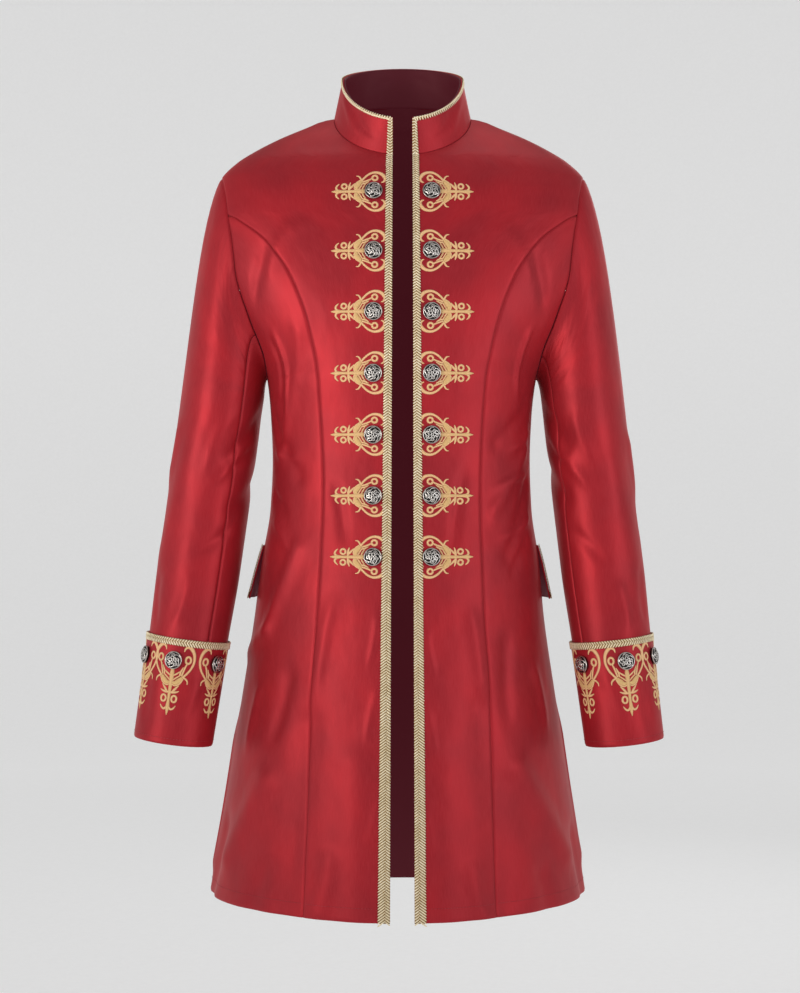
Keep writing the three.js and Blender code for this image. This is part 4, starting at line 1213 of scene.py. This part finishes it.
# ------------------------------------------------------------------ strips and braid
def closed_strips(name, strips, marks=()):
    """Closed raised strips. Each strip is rows of points round its section, with marks and the
    distance along it for the UV map."""
    points, faces, uvs, values = [], [], [], {mark: [] for mark in marks}
    start = 0
    for strip in strips:
        rows, count = strip["points"].shape[:2]
        points.append(strip["points"].reshape(-1, 3))
        faces += bar_faces(rows, count, start)
        uvs.append(strip["uv"].reshape(-1, 2))
        for mark in marks:
            values[mark].append(np.broadcast_to(strip[mark], (rows, count)).ravel())
        start += rows * count
    joined = {mark: np.concatenate(parts) for mark, parts in values.items()}
    return mend(fresh_mesh(name, np.concatenate(points), faces, np.concatenate(uvs), joined))


def resampled(path, count):
    """Points evenly spaced along lines that share their parameter; path is (places, lines, 3)."""
    middle = path.mean(axis=1)
    walked = np.concatenate([[0], np.cumsum(np.linalg.norm(np.diff(middle, axis=0), axis=1))])
    even = np.linspace(0, walked[-1], count)
    flat = path.reshape(len(path), -1)
    new = np.stack([np.interp(even, walked, flat[:, i]) for i in range(flat.shape[1])], -1)
    return new.reshape(count, *path.shape[1:]), even


# Strands of the braid, in millimetres: width is a share of the pitch, lift is how high they lie,
# and slant is how far they lean along the braid for each step across.
STRAND = {"pitch": 3.2, "width": 0.59, "height": 1.3, "lift": 0.72, "slant": 0.75}
# The two columns of strands: place across the braid, way they lean and reach across.
STRAND_COLUMNS = ((0.19, 1.0, 0.44), (0.7, -1.0, 0.76))
# Section of the ground under the strands, as shares of the width and heights.
BRAID_GROUND = np.array([(0.0, 0.05), (0.0, 0.45), (0.12, 0.7), (0.5, 0.62), (0.88, 0.7),
                         (1.0, 0.45), (1.0, 0.05)])


def lay_braid(node, carrier, edges, outward):
    """Flat braid between two edges, in two columns of slanted strands that meet in a chevron."""
    name = node + "_gold"
    pitch = setting("braid_pitch")
    lines = np.stack(edges, 1)
    length = np.linalg.norm(np.diff(lines.mean(axis=1), axis=0), axis=1).sum()
    count = max(4, round(length / pitch))
    path, even = resampled(np.concatenate([lines, lines + outward[:, None]], axis=1), count)
    edge, far, normal = path[:, 0], path[:, 1], unit_of(path[:, 2] - path[:, 0])
    across = far - edge
    width = np.linalg.norm(across, axis=1)
    forward = unit_of(np.gradient((edge + far) / 2, axis=0))
    share, height = BRAID_GROUND[:, 0], BRAID_GROUND[:, 1]
    section = edge[:, None] + across[:, None] * share[None, :, None]
    section = section + normal[:, None] * height[None, :, None]
    uv = np.stack(np.broadcast_arrays(even[:, None] * MM, share[None] * 0.01), -1)
    ground = closed_strips(name + "_ground", [{"points": section, "uv": uv}])
    ground.materials.append(finish_of("braid ground"))
    points, ahead, sizes = [], [], []
    for place, lean, reach in STRAND_COLUMNS:
        points.append(edge + across * place)
        ahead.append(unit_of(across * lean / width[:, None] + forward * STRAND["slant"]))
        long = width * reach * math.hypot(1, STRAND["slant"])
        sizes.append(np.stack([long, 0 * long + pitch * STRAND["width"],
                               0 * long + STRAND["height"]], -1))
    normals = np.concatenate([normal, normal])
    strands = scattered(name + "_strands", bead_shape(), np.concatenate(points),
                        np.concatenate(ahead), normals, np.concatenate(sizes) * MM,
                        finish_of("braid"), STRAND["lift"])
    sew_on(carrier, join_meshes(name, [ground, strands]), "braid", node)


# The front braid widens from the neck to the hem.
FRONT_BRAID = {"top": 7.0, "hem": 13.0}


def front_edge_lines(side):
    """Both edges of a front braid, from the hem up, on the panel's outer face."""
    rows = np.linspace(HEM_Z, NECK_ROWS[0], 420)
    width = FRONT_BRAID["top"] + (FRONT_BRAID["hem"] - FRONT_BRAID["top"]) * rows / HEM_Z
    edge = front_edge_x(rows)
    lines = [angle_at_x(x, rows) * SIDES[side] for x in (edge, edge + width)]
    return [trunk_point(line, rows, LAID_ON) for line in lines], trunk_normal(lines[0], rows)


def round_three_sides(first, last, inset, start, counts):
    """Two lines up one end of a piece, along its far edge and down the other end, as degrees and
    shares of its height. The second is inset in degrees and in shares."""
    climb, along = np.linspace(start, 1, counts[0]), np.linspace(0, 1, counts[1])[1:-1]
    lines = []
    for aside, short in ((0.0, 0.0), inset):
        low, high, top = first + aside, last - aside, 1 - short
        degrees = np.concatenate([0 * climb + low, low + (high - low) * along, 0 * climb + high])
        shares = np.concatenate([climb * top, 0 * along + top, climb[::-1] * top])
        lines.append((degrees, shares))
    return lines


def faced(place, lift):
    """Points of a surface at a lift, and the way it faces there."""
    points = place(lift)
    return points, unit_of(place(lift + 1) - points)


def make_braid():
    turns = np.radians(np.linspace(0, 360, 200))
    for side in SIDES:
        lay_braid(f"braid_front_{side}", f"front_{side}", *front_edge_lines(side))
        head = CUFF_TOP - CUFF["overhang"]
        lift = CUFF["lift"] + LAID_ON
        first, outward = faced(lambda up: sleeve_point(side, turns, head, up), lift)
        second = sleeve_point(side, turns, head + CUFF["braid"], lift)
        lay_braid(f"braid_cuff_{side}", f"cuff_{side}", (first, second), outward)
        lines = round_three_sides(FLAP["front"], FLAP["back"], (2.1, 7 / FLAP["height"]), 0.0,
                                  (30, 70))
        lift = 2 * LAID_ON + setting("cloth_thickness")
        first, outward = faced(lambda up: flap_point(side, *lines[0], up), lift)
        second = flap_point(side, *lines[1], lift)
        lay_braid(f"braid_flap_{side}", f"flap_{side}", (first, second), outward)
    lines = round_three_sides(NECK_START, 360 - NECK_START, (5.0, 0.08), 0.03, (40, 220))
    lay_braid("braid_collar", "collar", [collar_point(*line, LAID_ON) for line in lines],
              normal_of(bare_collar, *lines[0], 1.0, 0.05))


# ------------------------------------------------------------------ embroidery
# The scroll motif as strokes of points (out, up, half width), in millimetres from the middle of
# the button: out runs towards the motif's tip. A half is a mirrored stroke; each starts with its
# filling, which is 1 for a worked leaf. Rings are (out, up, radius, half width).
MOTIF_STEM = [(7, 0, 1.5), (13, 0, 2.3), (19, 0, 1.8), (27, 0, 1.5), (36, 0, 1.35),
              (41.5, 0, 2.1), (44.5, 0, 1.5), (49, 0, 0.25)]
MOTIF_HALF = [
    (0, [(41.2, 1.0, 0.8), (43.6, 3.6, 1.0), (42.8, 6.6, 0.8), (40, 9.2, 0.25)]),
    (0, [(28.6, 0.8, 0.9), (28.4, 4.4, 1.25), (28.0, 7.6, 0.9), (26.8, 11, 0.25)]),
    (0, [(28.4, 2.8, 0.7), (26.0, 5.2, 1.1), (23.9, 7.4, 0.8), (21.8, 9.8, 0.25)]),
    (1, [(19.4, 1.6, 1.0), (19.9, 5.2, 2.3), (17.6, 9.0, 2.6), (14.2, 12.2, 1.3)]),
    (0, [(21.2, 1.4, 0.55), (22.4, 5.2, 0.6), (20.2, 10.2, 0.6), (15.4, 13.6, 0.5)]),
    (0, [(18.2, 1.2, 0.5), (15.2, 5.4, 0.6), (12.8, 9.6, 0.5)]),
    (0, [(14.4, 12.4, 0.9), (11.2, 16.2, 0.95), (6.2, 20.6, 1.0), (0, 23.2, 1.15),
         (-6.8, 22.4, 1.45), (-11.6, 18.8, 1.8), (-13.2, 14.8, 1.5), (-11.4, 11.6, 0.9),
         (-8.6, 10.6, 0.3)]),
    (0, [(13.4, 11.2, 0.7), (9.4, 12.4, 0.8), (4.6, 14.2, 0.8), (1.6, 16, 0.5)]),
    (0, [(13.2, 9.4, 0.6), (10.2, 9.4, 0.9), (7.8, 10.6, 0.7), (5.2, 12, 0.25)]),
    (0, [(14.2, 12.8, 0.8), (15.4, 16, 0.8), (17.4, 18.4, 0.65), (20.2, 18.8, 0.25)]),
    (0, [(13.4, 2.0, 0.6), (11.6, 5.6, 0.8), (9.4, 8.6, 0.3)]),
]
MOTIF_RINGS = [(34.2, 6.2, 2.9, 0.95), (-1.4, 16.4, 3.0, 1.0)]
STEM_FILLING = 0.6
# Section of a cord: place across and height as shares of its half width and height, and rim, the
# share of painted shade where the cord meets the cloth.
THREAD_SECTION = np.array([(-1.3, -0.25, 1.0), (-1.02, 0.18, 0.5), (-0.62, 0.82, 0.0),
                           (0.0, 1.0, 0.0), (0.62, 0.82, 0.0), (1.02, 0.18, 0.5),
                           (1.3, -0.25, 1.0)])
STROKE_STEP = 1.1
# Height of a cord on its own and for each millimetre of half width, how much wider than its
# stroke it is, and the share of the height that a filled leaf keeps.
CORD = {"least": 0.28, "rise": 0.3, "spill": 0.18, "clear": 0.12, "leaf": 0.75}


def smooth_line(points, closed=False):
    """Evenly spaced points on a Catmull-Rom line through the given ones."""
    points = np.asarray(points, float)
    if closed:
        padded = np.concatenate([points[-1:], points, points[:2]])
    else:
        first, last = 2 * points[0] - points[1], 2 * points[-1] - points[-2]
        padded = np.concatenate([[first], points, [last]])
    before, start, end, after = padded[:-3], padded[1:-2], padded[2:-1], padded[3:]
    t = np.linspace(0, 1, 9)[:-1, None, None]
    line = hermite(start, (end - before) / 2, end, (after - start) / 2, t)
    line = line.transpose(1, 0, 2).reshape(-1, points.shape[1])
    line = np.concatenate([line, points[:1] if closed else points[-1:]])
    walked = np.concatenate([[0], np.cumsum(np.linalg.norm(np.diff(line[:, :2], axis=0), axis=1))])
    even = np.linspace(0, walked[-1], max(5, round(walked[-1] / STROKE_STEP) + 1))
    return np.stack([np.interp(even, walked, line[:, i]) for i in range(line.shape[1])], -1), even


def motif_strokes():
    """Every stroke of the whole motif: (points, distances along it, filling, closed)."""
    strokes = [(*smooth_line(MOTIF_STEM), STEM_FILLING, False)]
    for up in (1, -1):
        for filling, points in MOTIF_HALF:
            line, even = smooth_line(points)
            strokes.append((line * [1, up, 1], even, filling, False))
        for out, height, radius, half_width in MOTIF_RINGS:
            turn = np.linspace(0, 2 * np.pi, 12, endpoint=False)
            ring = np.stack([out + radius * np.cos(turn), height + radius * np.sin(turn),
                             0 * turn + half_width], -1)
            line, even = smooth_line(ring, closed=True)
            strokes.append((line * [1, up, 1], even, 0.0, True))
    return strokes


def worked_strokes(place, stretch=1.0):
    """The motif's strokes as raised closed strips on a surface place(out, up, lift)."""
    for line, even, filling, closed in motif_strokes():
        out, up, half_width = line[:, 0] * stretch, line[:, 1], line[:, 2]
        step = unit_of(np.stack([np.gradient(out), np.gradient(up)], -1))
        if closed:
            step[0] = step[-1] = unit_of(step[:1] + step[-1:])[0]
        side, height, rim = THREAD_SECTION.T
        spread = half_width[:, None] * side + CORD["spill"] * np.sign(side)
        raised = (CORD["least"] + CORD["rise"] * half_width[:, None]) * height
        raised = raised * (CORD["leaf"] if filling == 1 else 1.0)
        across = out[:, None] - step[:, 1:] * spread
        along = up[:, None] + step[:, :1] * spread
        uv = np.stack(np.broadcast_arrays(even[:, None] * MM, spread * MM), -1)
        yield {"points": place(across, along, raised + CORD["clear"]), "uv": uv,
               "filled": filling, "rim": rim[None]}


CUFF_MOTIF = {"stretch": 1.3, "radius": 47.0}


def make_embroidery():
    for side, sign in SIDES.items():
        on_front, on_cuff = [], []
        for number in range(FRONT_BUTTONS["count"]):
            middle = FRONT_BUTTONS["first_z"] - FRONT_BUTTONS["pitch"] * number

            def front_place(out, up, lift):
                z = middle + up
                return trunk_point(angle_at_x(FRONT_BUTTONS["x"] + out, z) * sign, z, lift)

            on_front += worked_strokes(front_place)
        for degrees in CUFF_BUTTONS["degrees"]:

            def cuff_place(out, up, lift):
                turn = np.radians(degrees) + up / CUFF_MOTIF["radius"]
                down = CUFF_TOP + CUFF_BUTTONS["below"] + out
                return sleeve_point(side, turn, down, CUFF["lift"] + lift)

            on_cuff += worked_strokes(cuff_place, CUFF_MOTIF["stretch"])
        for carrier, strips in ((f"front_{side}", on_front), (f"cuff_{side}", on_cuff)):
            mesh = closed_strips("embroidery_" + carrier, strips, ("filled", "rim"))
            sew_on(carrier, new_piece(mesh, finish_of("thread")), "braid")


# ------------------------------------------------------------------ buttons
# A button in millimetres, with its mesh's numbers of points; relief is how high the scrolls
# stand, spread is how far their sides run out, and turn is each one's turn from the last.
BUTTON = {"radius": 10.5, "height": 6.5, "rings": 30, "around": 84, "relief": 0.95,
          "spread": 1.35, "turn": 2.4}
# Its dome, in shares of the radius and height.
BUTTON_DOME = columns("r z", [
    (0.0, 0.80), (0.2, 0.785), (0.4, 0.74), (0.6, 0.65), (0.75, 0.53), (0.86, 0.42),
])


def polar(radius, turn):
    return np.stack([radius * np.cos(turn), radius * np.sin(turn)], -1)


def button_scrolls():
    """Centre lines of the cast scrolls on a button, in millimetres, with their half widths."""
    lines = []
    for number in range(5):
        base = number * 2 * math.pi / 5 + 0.3
        t = np.linspace(0, 1, 26)
        turn = base + 2.2 + t * 2 * math.pi * 1.25 * (1 if number % 2 else -1)
        centre = 5.6 * np.array([math.cos(base), math.sin(base)])
        lines.append((centre + polar(2.5 - 1.9 * t, turn), 0.62))
        reach = 8.6 - 2.2 * np.linspace(0, 1, 12) ** 2
        lines.append((polar(reach, base + np.linspace(0.25, 0.95, 12)), 0.6))
        spoke = np.linspace(1.6, 3.6, 6)
        lines.append((polar(spoke, base + 0.6 + 0.12 * spoke), 0.55))
        lines.append((polar(np.array([3.9]), base + 0.63), 0.95))
    lines.append((polar(1.3, np.linspace(0, 2 * math.pi, 20)), 0.6))
    return lines


def button_shape():
    """A domed button with a rolled rim and cast scrolls, on +Z with its flat back at zero."""
    radius, height, around = BUTTON["radius"], BUTTON["height"], BUTTON["around"]
    reach = 0.02 + np.linspace(0, 1, BUTTON["rings"]) ** 0.9 * 0.84
    dome = look_up(BUTTON_DOME, reach, "z")
    rim_turn = np.linspace(2.4, -1.9, 9)
    rim_reach = 0.925 + 0.075 * np.cos(rim_turn)
    rim_height = 0.36 + 0.15 * np.sin(rim_turn)
    reach = np.concatenate([reach, rim_reach, [0.9]]) * radius
    rise = (np.concatenate([dome, rim_height, [0.02]]) * height)[:, None]
    place = polar(reach[:, None], np.linspace(0, 2 * np.pi, around, endpoint=False))
    relief = np.zeros(place.shape[:2])
    for line, half_width in button_scrolls():
        gap = np.linalg.norm(place[:, :, None] - line, axis=-1).min(axis=-1)
        side = gap / (half_width * BUTTON["spread"])
        relief = np.maximum(relief, np.sqrt(np.clip(1 - side**2, 0, 1)))
    rim = (reach > 0.86 * radius)[:, None]
    # the rim is worn bright on top, and dark where it turns under
    relief = np.where(rim, np.where(rise > 0.3 * height, 0.85, 0.3), relief)
    raised = rise + np.where(rim, 0, relief * BUTTON["relief"])
    points = np.concatenate([place, raised[..., None]], -1)[::-1]
    faces = bar_faces(len(points), around)
    uv = points[..., :2] * MM
    return new_piece(mend(fresh_mesh("button", points, faces, uv, {"relief": relief[::-1]})))


def make_buttons():
    shape = button_shape()
    number = np.arange(FRONT_BUTTONS["count"])
    z = FRONT_BUTTONS["first_z"] - FRONT_BUTTONS["pitch"] * number
    turns = np.radians(CUFF_BUTTONS["degrees"])
    down = CUFF_TOP + CUFF_BUTTONS["below"]
    for side, sign in SIDES.items():
        angle = angle_at_x(FRONT_BUTTONS["x"] + 0 * z, z) * sign
        add_buttons(shape, f"front_{side}", trunk_point(angle, z, LAID_ON), trunk_normal(angle, z))
        seats = faced(lambda up: sleeve_point(side, turns, down, up), CUFF["lift"] + LAID_ON)
        add_buttons(shape, f"cuff_{side}", *seats)
    bpy.data.objects.remove(shape)


def add_buttons(shape, carrier, seats, outward):
    """Buttons sewn on at their seats, each turned differently."""
    level = unit_of(np.cross(outward, [0.0, 0.0, -1.0]))
    turn = (np.arange(len(seats)) * BUTTON["turn"])[:, None]
    ahead = level * np.cos(turn) + np.cross(outward, level) * np.sin(turn)
    mesh = scattered(f"buttons_{carrier}", shape, seats, ahead, outward, 1.0, finish_of("silver"))
    nodes = [f"button_{carrier}_{number + 1}" for number in range(len(seats))]
    sew_on(carrier, new_piece(mesh), "button", *nodes)


# ------------------------------------------------------------------ stitching
STITCH = {"length": 2.7, "pitch": 3.6, "thick": 0.55, "lift": 0.1, "from_hem": 16.0,
          "from_front": 30.0, "from_seam": 0.02, "from_cuff": 7.0}


def stitch_row(name, path, outward, carrier):
    """Running stitches along a path of points in millimetres."""
    walked = np.linalg.norm(np.diff(path, axis=0), axis=1).sum()
    lines = np.stack([path, path + outward], 1)
    lines, _ = resampled(lines, round(walked / setting("stitch_pitch")))
    points, normals = lines[:, 0], unit_of(lines[:, 1] - lines[:, 0])
    ahead = unit_of(np.gradient(points, axis=0))
    size = np.array([STITCH["length"], STITCH["thick"], STITCH["thick"]]) * MM
    mesh = scattered(name, bead_shape(), points, ahead, normals, size, finish_of("sewing thread"),
                     STITCH["lift"])
    sew_on(carrier, new_piece(mesh), "satin")


def make_stitching():
    z = HEM_Z + STITCH["from_hem"]
    start, seam = angle_at_x(np.array([STITCH["from_front"], look_up(PRINCESS, z, "x")]), z)
    spans = {"back": (np.pi / 2, 3 * np.pi / 2)}
    for side, sign in SIDES.items():
        spans[f"front_{side}"] = (sign * start, sign * seam)
        spans[f"side_front_{side}"] = (sign * seam, sign * np.pi / 2)
    for name, (start, end) in spans.items():
        clear = STITCH["from_seam"] * np.sign(end - start)
        angles = np.linspace(start + clear, end - clear, 300)
        wrapped = np.where(angles > np.pi, angles - 2 * np.pi, angles)
        heights = np.full(len(angles), z)
        path = trunk_point(wrapped, heights)
        stitch_row(f"stitches_hem_{name}", path, trunk_normal(wrapped, heights), name)
    turns = np.radians(np.linspace(0, 360, 200))
    down = SLEEVE["length"] + CUFF["overhang"] - STITCH["from_cuff"]
    for side in SIDES:
        path, outward = faced(lambda up: sleeve_point(side, turns, down, up), CUFF["lift"])
        stitch_row(f"stitches_cuff_{side}", path, outward, f"cuff_{side}")


# ------------------------------------------------------------------ studio
# The studio is in metres.
FLOOR_Z = -1.41
COVE = {"flat": 4.8, "curve": 1.8, "top": 4.2, "around": 96}
LIGHTS = (
    # name, place, height aimed at, size across and up, spread in degrees, watts, colour
    ("key softbox", (-1.8, -1.65, -0.33), -0.18, (0.95, 1.0), 46, 2.05, "#fffaf4"),
    ("fill softbox", (2.2, -1.9, -0.3), -0.2, (1.0, 1.2), 46, 1.35, "#fafbff"),
    ("top softbox", (0.2, 0.5, 1.9), -0.45, (1.8, 1.4), 180, 8.0, "#ffffff"),
    ("back softbox", (0.9, 2.6, 0.6), -0.45, (1.6, 1.8), 180, 8.0, "#ffffff"),
)
AIR = {"Color": "#e6e6e6", "Strength": 0.4}
CAMERA = {"place": (-0.003, -2.430, -0.455), "lens": 73.12, "sensor_height": 36.0,
          "clip_end": 60.0}


def make_studio():
    """A round cove of seamless paper, soft lights and the camera."""
    bend = np.radians(np.linspace(0, 90, 16))
    flat, curve = COVE["flat"], COVE["curve"]
    reach = np.concatenate([[0.001, 1.5, 3.0], flat + curve * np.sin(bend), [flat + curve] * 2])
    rise = np.concatenate([[0, 0, 0], curve * (1 - np.cos(bend)), [3.0, COVE["top"]]]) + FLOOR_Z
    turn = np.linspace(0, 2 * np.pi, COVE["around"], endpoint=False)
    rings = polar(reach[:, None], turn)
    heights = np.broadcast_to(rise[:, None, None], (*rings.shape[:2], 1))
    points = np.concatenate([rings, heights], -1)
    faces = grid_faces(len(reach), COVE["around"], wrap=True)[:, ::-1].tolist()
    new_piece(fresh_mesh("seamless_paper", points / MM, faces), finish_of("paper"))
    for name, place, aimed, size, spread, watts, colour in LIGHTS:
        light = bpy.data.lights.new(name, "AREA")
        light.shape = "RECTANGLE"
        light.size, light.size_y = size
        light.spread = math.radians(spread)
        light.energy = watts
        light.color = linear(colour)[:3]
        lamp = add_to_scene(name, light)
        lamp.location = place
        lamp.rotation_mode = "QUATERNION"
        aim = Vector((0.0, 0.0, aimed)) - Vector(place)
        lamp.rotation_quaternion = aim.to_track_quat("-Z", "Y")
    scene = bpy.context.scene
    scene.world = bpy.data.worlds.new("studio air")
    scene.world.use_nodes = True
    sky = scene.world.node_tree.nodes["Background"].inputs
    sky["Color"].default_value = linear(AIR["Color"])
    sky["Strength"].default_value = AIR["Strength"]
    camera = bpy.data.cameras.new("camera")
    camera.sensor_fit = "VERTICAL"
    camera.sensor_height = CAMERA["sensor_height"]
    camera.lens = CAMERA["lens"]
    camera.clip_end = CAMERA["clip_end"]
    scene.camera = add_to_scene("camera", camera)
    scene.camera.location = CAMERA["place"]
    scene.camera.rotation_euler = (math.radians(90), 0, 0)
    scene.view_settings.view_transform = "Standard"
    scene.view_settings.look = "None"


# ------------------------------------------------------------------ add-on
def colour_setting(name, description, code):
    return bpy.props.FloatVectorProperty(name=name, description=description, subtype="COLOR",
                                         size=3, min=0, max=1, default=linear(code)[:3])


class TailcoatSettings(bpy.types.PropertyGroup):
    """Sizes and colours of the coat's cloth and trimming."""
    cloth_thickness: bpy.props.FloatProperty(
        name="Cloth thickness", description="Thickness of the satin with its interlining",
        default=CLOTH * MM, min=0.0005, max=0.004, unit="LENGTH", precision=4)
    braid_pitch: bpy.props.FloatProperty(
        name="Braid pitch", description="Distance between two strands of the braid",
        default=STRAND["pitch"] * MM, min=0.0008, max=0.004, unit="LENGTH", precision=5)
    stitch_pitch: bpy.props.FloatProperty(
        name="Stitch pitch", description="Distance between two stitches of the topstitching",
        default=STITCH["pitch"] * MM, min=0.001, max=0.01, unit="LENGTH", precision=4)
    satin_face: colour_setting("Satin", "Colour of the satin's face", "#ad222c")
    satin_shade: colour_setting("Satin shade", "Colour of the satin's darker patches", "#98202a")
    lining: colour_setting("Lining", "Colour of the lining", "#2f0d13")
    # the braid's pale colour is the colour of its painted glints
    braid: colour_setting("Braid", "Colour of the braid where it catches the light", "#fff4d8")
    embroidery: colour_setting("Embroidery", "Colour of the embroidery's raised cords", "#fbd5a2")


class TAILCOAT_OT_fronts(bpy.types.Operator):
    """Makes both fronts and side fronts, from the front edge to the side seam"""
    bl_idname = "tailcoat.fronts"
    bl_label = "Fronts"

    def execute(self, context):
        make_fronts()
        return {"FINISHED"}


class TAILCOAT_OT_back(bpy.types.Operator):
    """Makes the back"""
    bl_idname = "tailcoat.back"
    bl_label = "Back"

    def execute(self, context):
        make_back()
        return {"FINISHED"}


class TAILCOAT_OT_collar(bpy.types.Operator):
    """Makes the stand collar"""
    bl_idname = "tailcoat.collar"
    bl_label = "Collar"

    def execute(self, context):
        make_collar()
        return {"FINISHED"}


class TAILCOAT_OT_linings(bpy.types.Operator):
    """Makes the linings of the back and the collar"""
    bl_idname = "tailcoat.linings"
    bl_label = "Linings"

    def execute(self, context):
        make_linings()
        return {"FINISHED"}


class TAILCOAT_OT_sleeves(bpy.types.Operator):
    """Makes the top and under sleeves"""
    bl_idname = "tailcoat.sleeves"
    bl_label = "Sleeves"

    def execute(self, context):
        make_sleeves()
        return {"FINISHED"}


class TAILCOAT_OT_cuffs(bpy.types.Operator):
    """Makes the applied cuff bands"""
    bl_idname = "tailcoat.cuffs"
    bl_label = "Cuffs"

    def execute(self, context):
        make_cuffs()
        return {"FINISHED"}


class TAILCOAT_OT_flaps(bpy.types.Operator):
    """Makes the pocket flaps"""
    bl_idname = "tailcoat.flaps"
    bl_label = "Flaps"

    def execute(self, context):
        make_flaps()
        return {"FINISHED"}


class TAILCOAT_OT_braid(bpy.types.Operator):
    """Lays the chevron braid along the fronts, collar, cuffs and flaps"""
    bl_idname = "tailcoat.braid"
    bl_label = "Braid"

    def execute(self, context):
        make_braid()
        return {"FINISHED"}


class TAILCOAT_OT_embroidery(bpy.types.Operator):
    """Works the scroll embroidery round every button"""
    bl_idname = "tailcoat.embroidery"
    bl_label = "Embroidery"

    def execute(self, context):
        make_embroidery()
        return {"FINISHED"}


class TAILCOAT_OT_buttons(bpy.types.Operator):
    """Sews on the front and cuff buttons"""
    bl_idname = "tailcoat.buttons"
    bl_label = "Buttons"

    def execute(self, context):
        make_buttons()
        return {"FINISHED"}


class TAILCOAT_OT_stitching(bpy.types.Operator):
    """Topstitches the hem and the cuffs"""
    bl_idname = "tailcoat.stitching"
    bl_label = "Stitching"

    def execute(self, context):
        make_stitching()
        return {"FINISHED"}


class TAILCOAT_OT_studio(bpy.types.Operator):
    """Makes the paper cove, the lights and the camera"""
    bl_idname = "tailcoat.studio"
    bl_label = "Studio"

    def execute(self, context):
        make_studio()
        return {"FINISHED"}


STEPS = (TAILCOAT_OT_studio, TAILCOAT_OT_fronts, TAILCOAT_OT_back, TAILCOAT_OT_collar,
         TAILCOAT_OT_linings, TAILCOAT_OT_sleeves, TAILCOAT_OT_cuffs, TAILCOAT_OT_flaps,
         TAILCOAT_OT_braid, TAILCOAT_OT_embroidery, TAILCOAT_OT_buttons, TAILCOAT_OT_stitching)


class TAILCOAT_PT_panel(bpy.types.Panel):
    """Lists the coat's settings and the steps that make it"""
    bl_label = "Tailcoat"
    bl_idname = "TAILCOAT_PT_panel"
    bl_space_type = "VIEW_3D"
    bl_region_type = "UI"
    bl_category = "Tailcoat"

    def draw(self, context):
        settings = context.scene.tailcoat
        for name in TailcoatSettings.__annotations__:
            self.layout.prop(settings, name)
        for step in STEPS:
            self.layout.operator(step.bl_idname)


CLASSES = (TailcoatSettings, *STEPS, TAILCOAT_PT_panel)


def register():
    for kind in CLASSES:
        bpy.utils.register_class(kind)
    bpy.types.Scene.tailcoat = bpy.props.PointerProperty(type=TailcoatSettings)


def unregister():
    del bpy.types.Scene.tailcoat
    for kind in reversed(CLASSES):
        bpy.utils.unregister_class(kind)


# What a cloth piece hangs from or lies on, if it isn't the back, and the pieces that lie.
CARRIED_BY = {"front": "collar_cloth", "back": "collar_cloth", "cuff": "sleeve_top_{side}_cloth"}


def declare_cloth():
    """Looks up, for every cut piece of cloth, what carries it and what is sewn on it; nothing is
    kept.
    """
    for name, (piece, flat, area) in CUTS.items():
        kind, side = name.split("_")[0], name.split("_")[-1]
        carrier = CARRIED_BY.get(kind, "back_cloth").format(side=side)
        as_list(SEWN_ON.get(name, []))


def main():
    register()
    for step in STEPS:
        getattr(bpy.ops.tailcoat, step.bl_idname.split(".")[1])()
    bpy.data.objects.remove(bead_shape())
    declare_cloth()


if __name__ == "__main__":
    main()
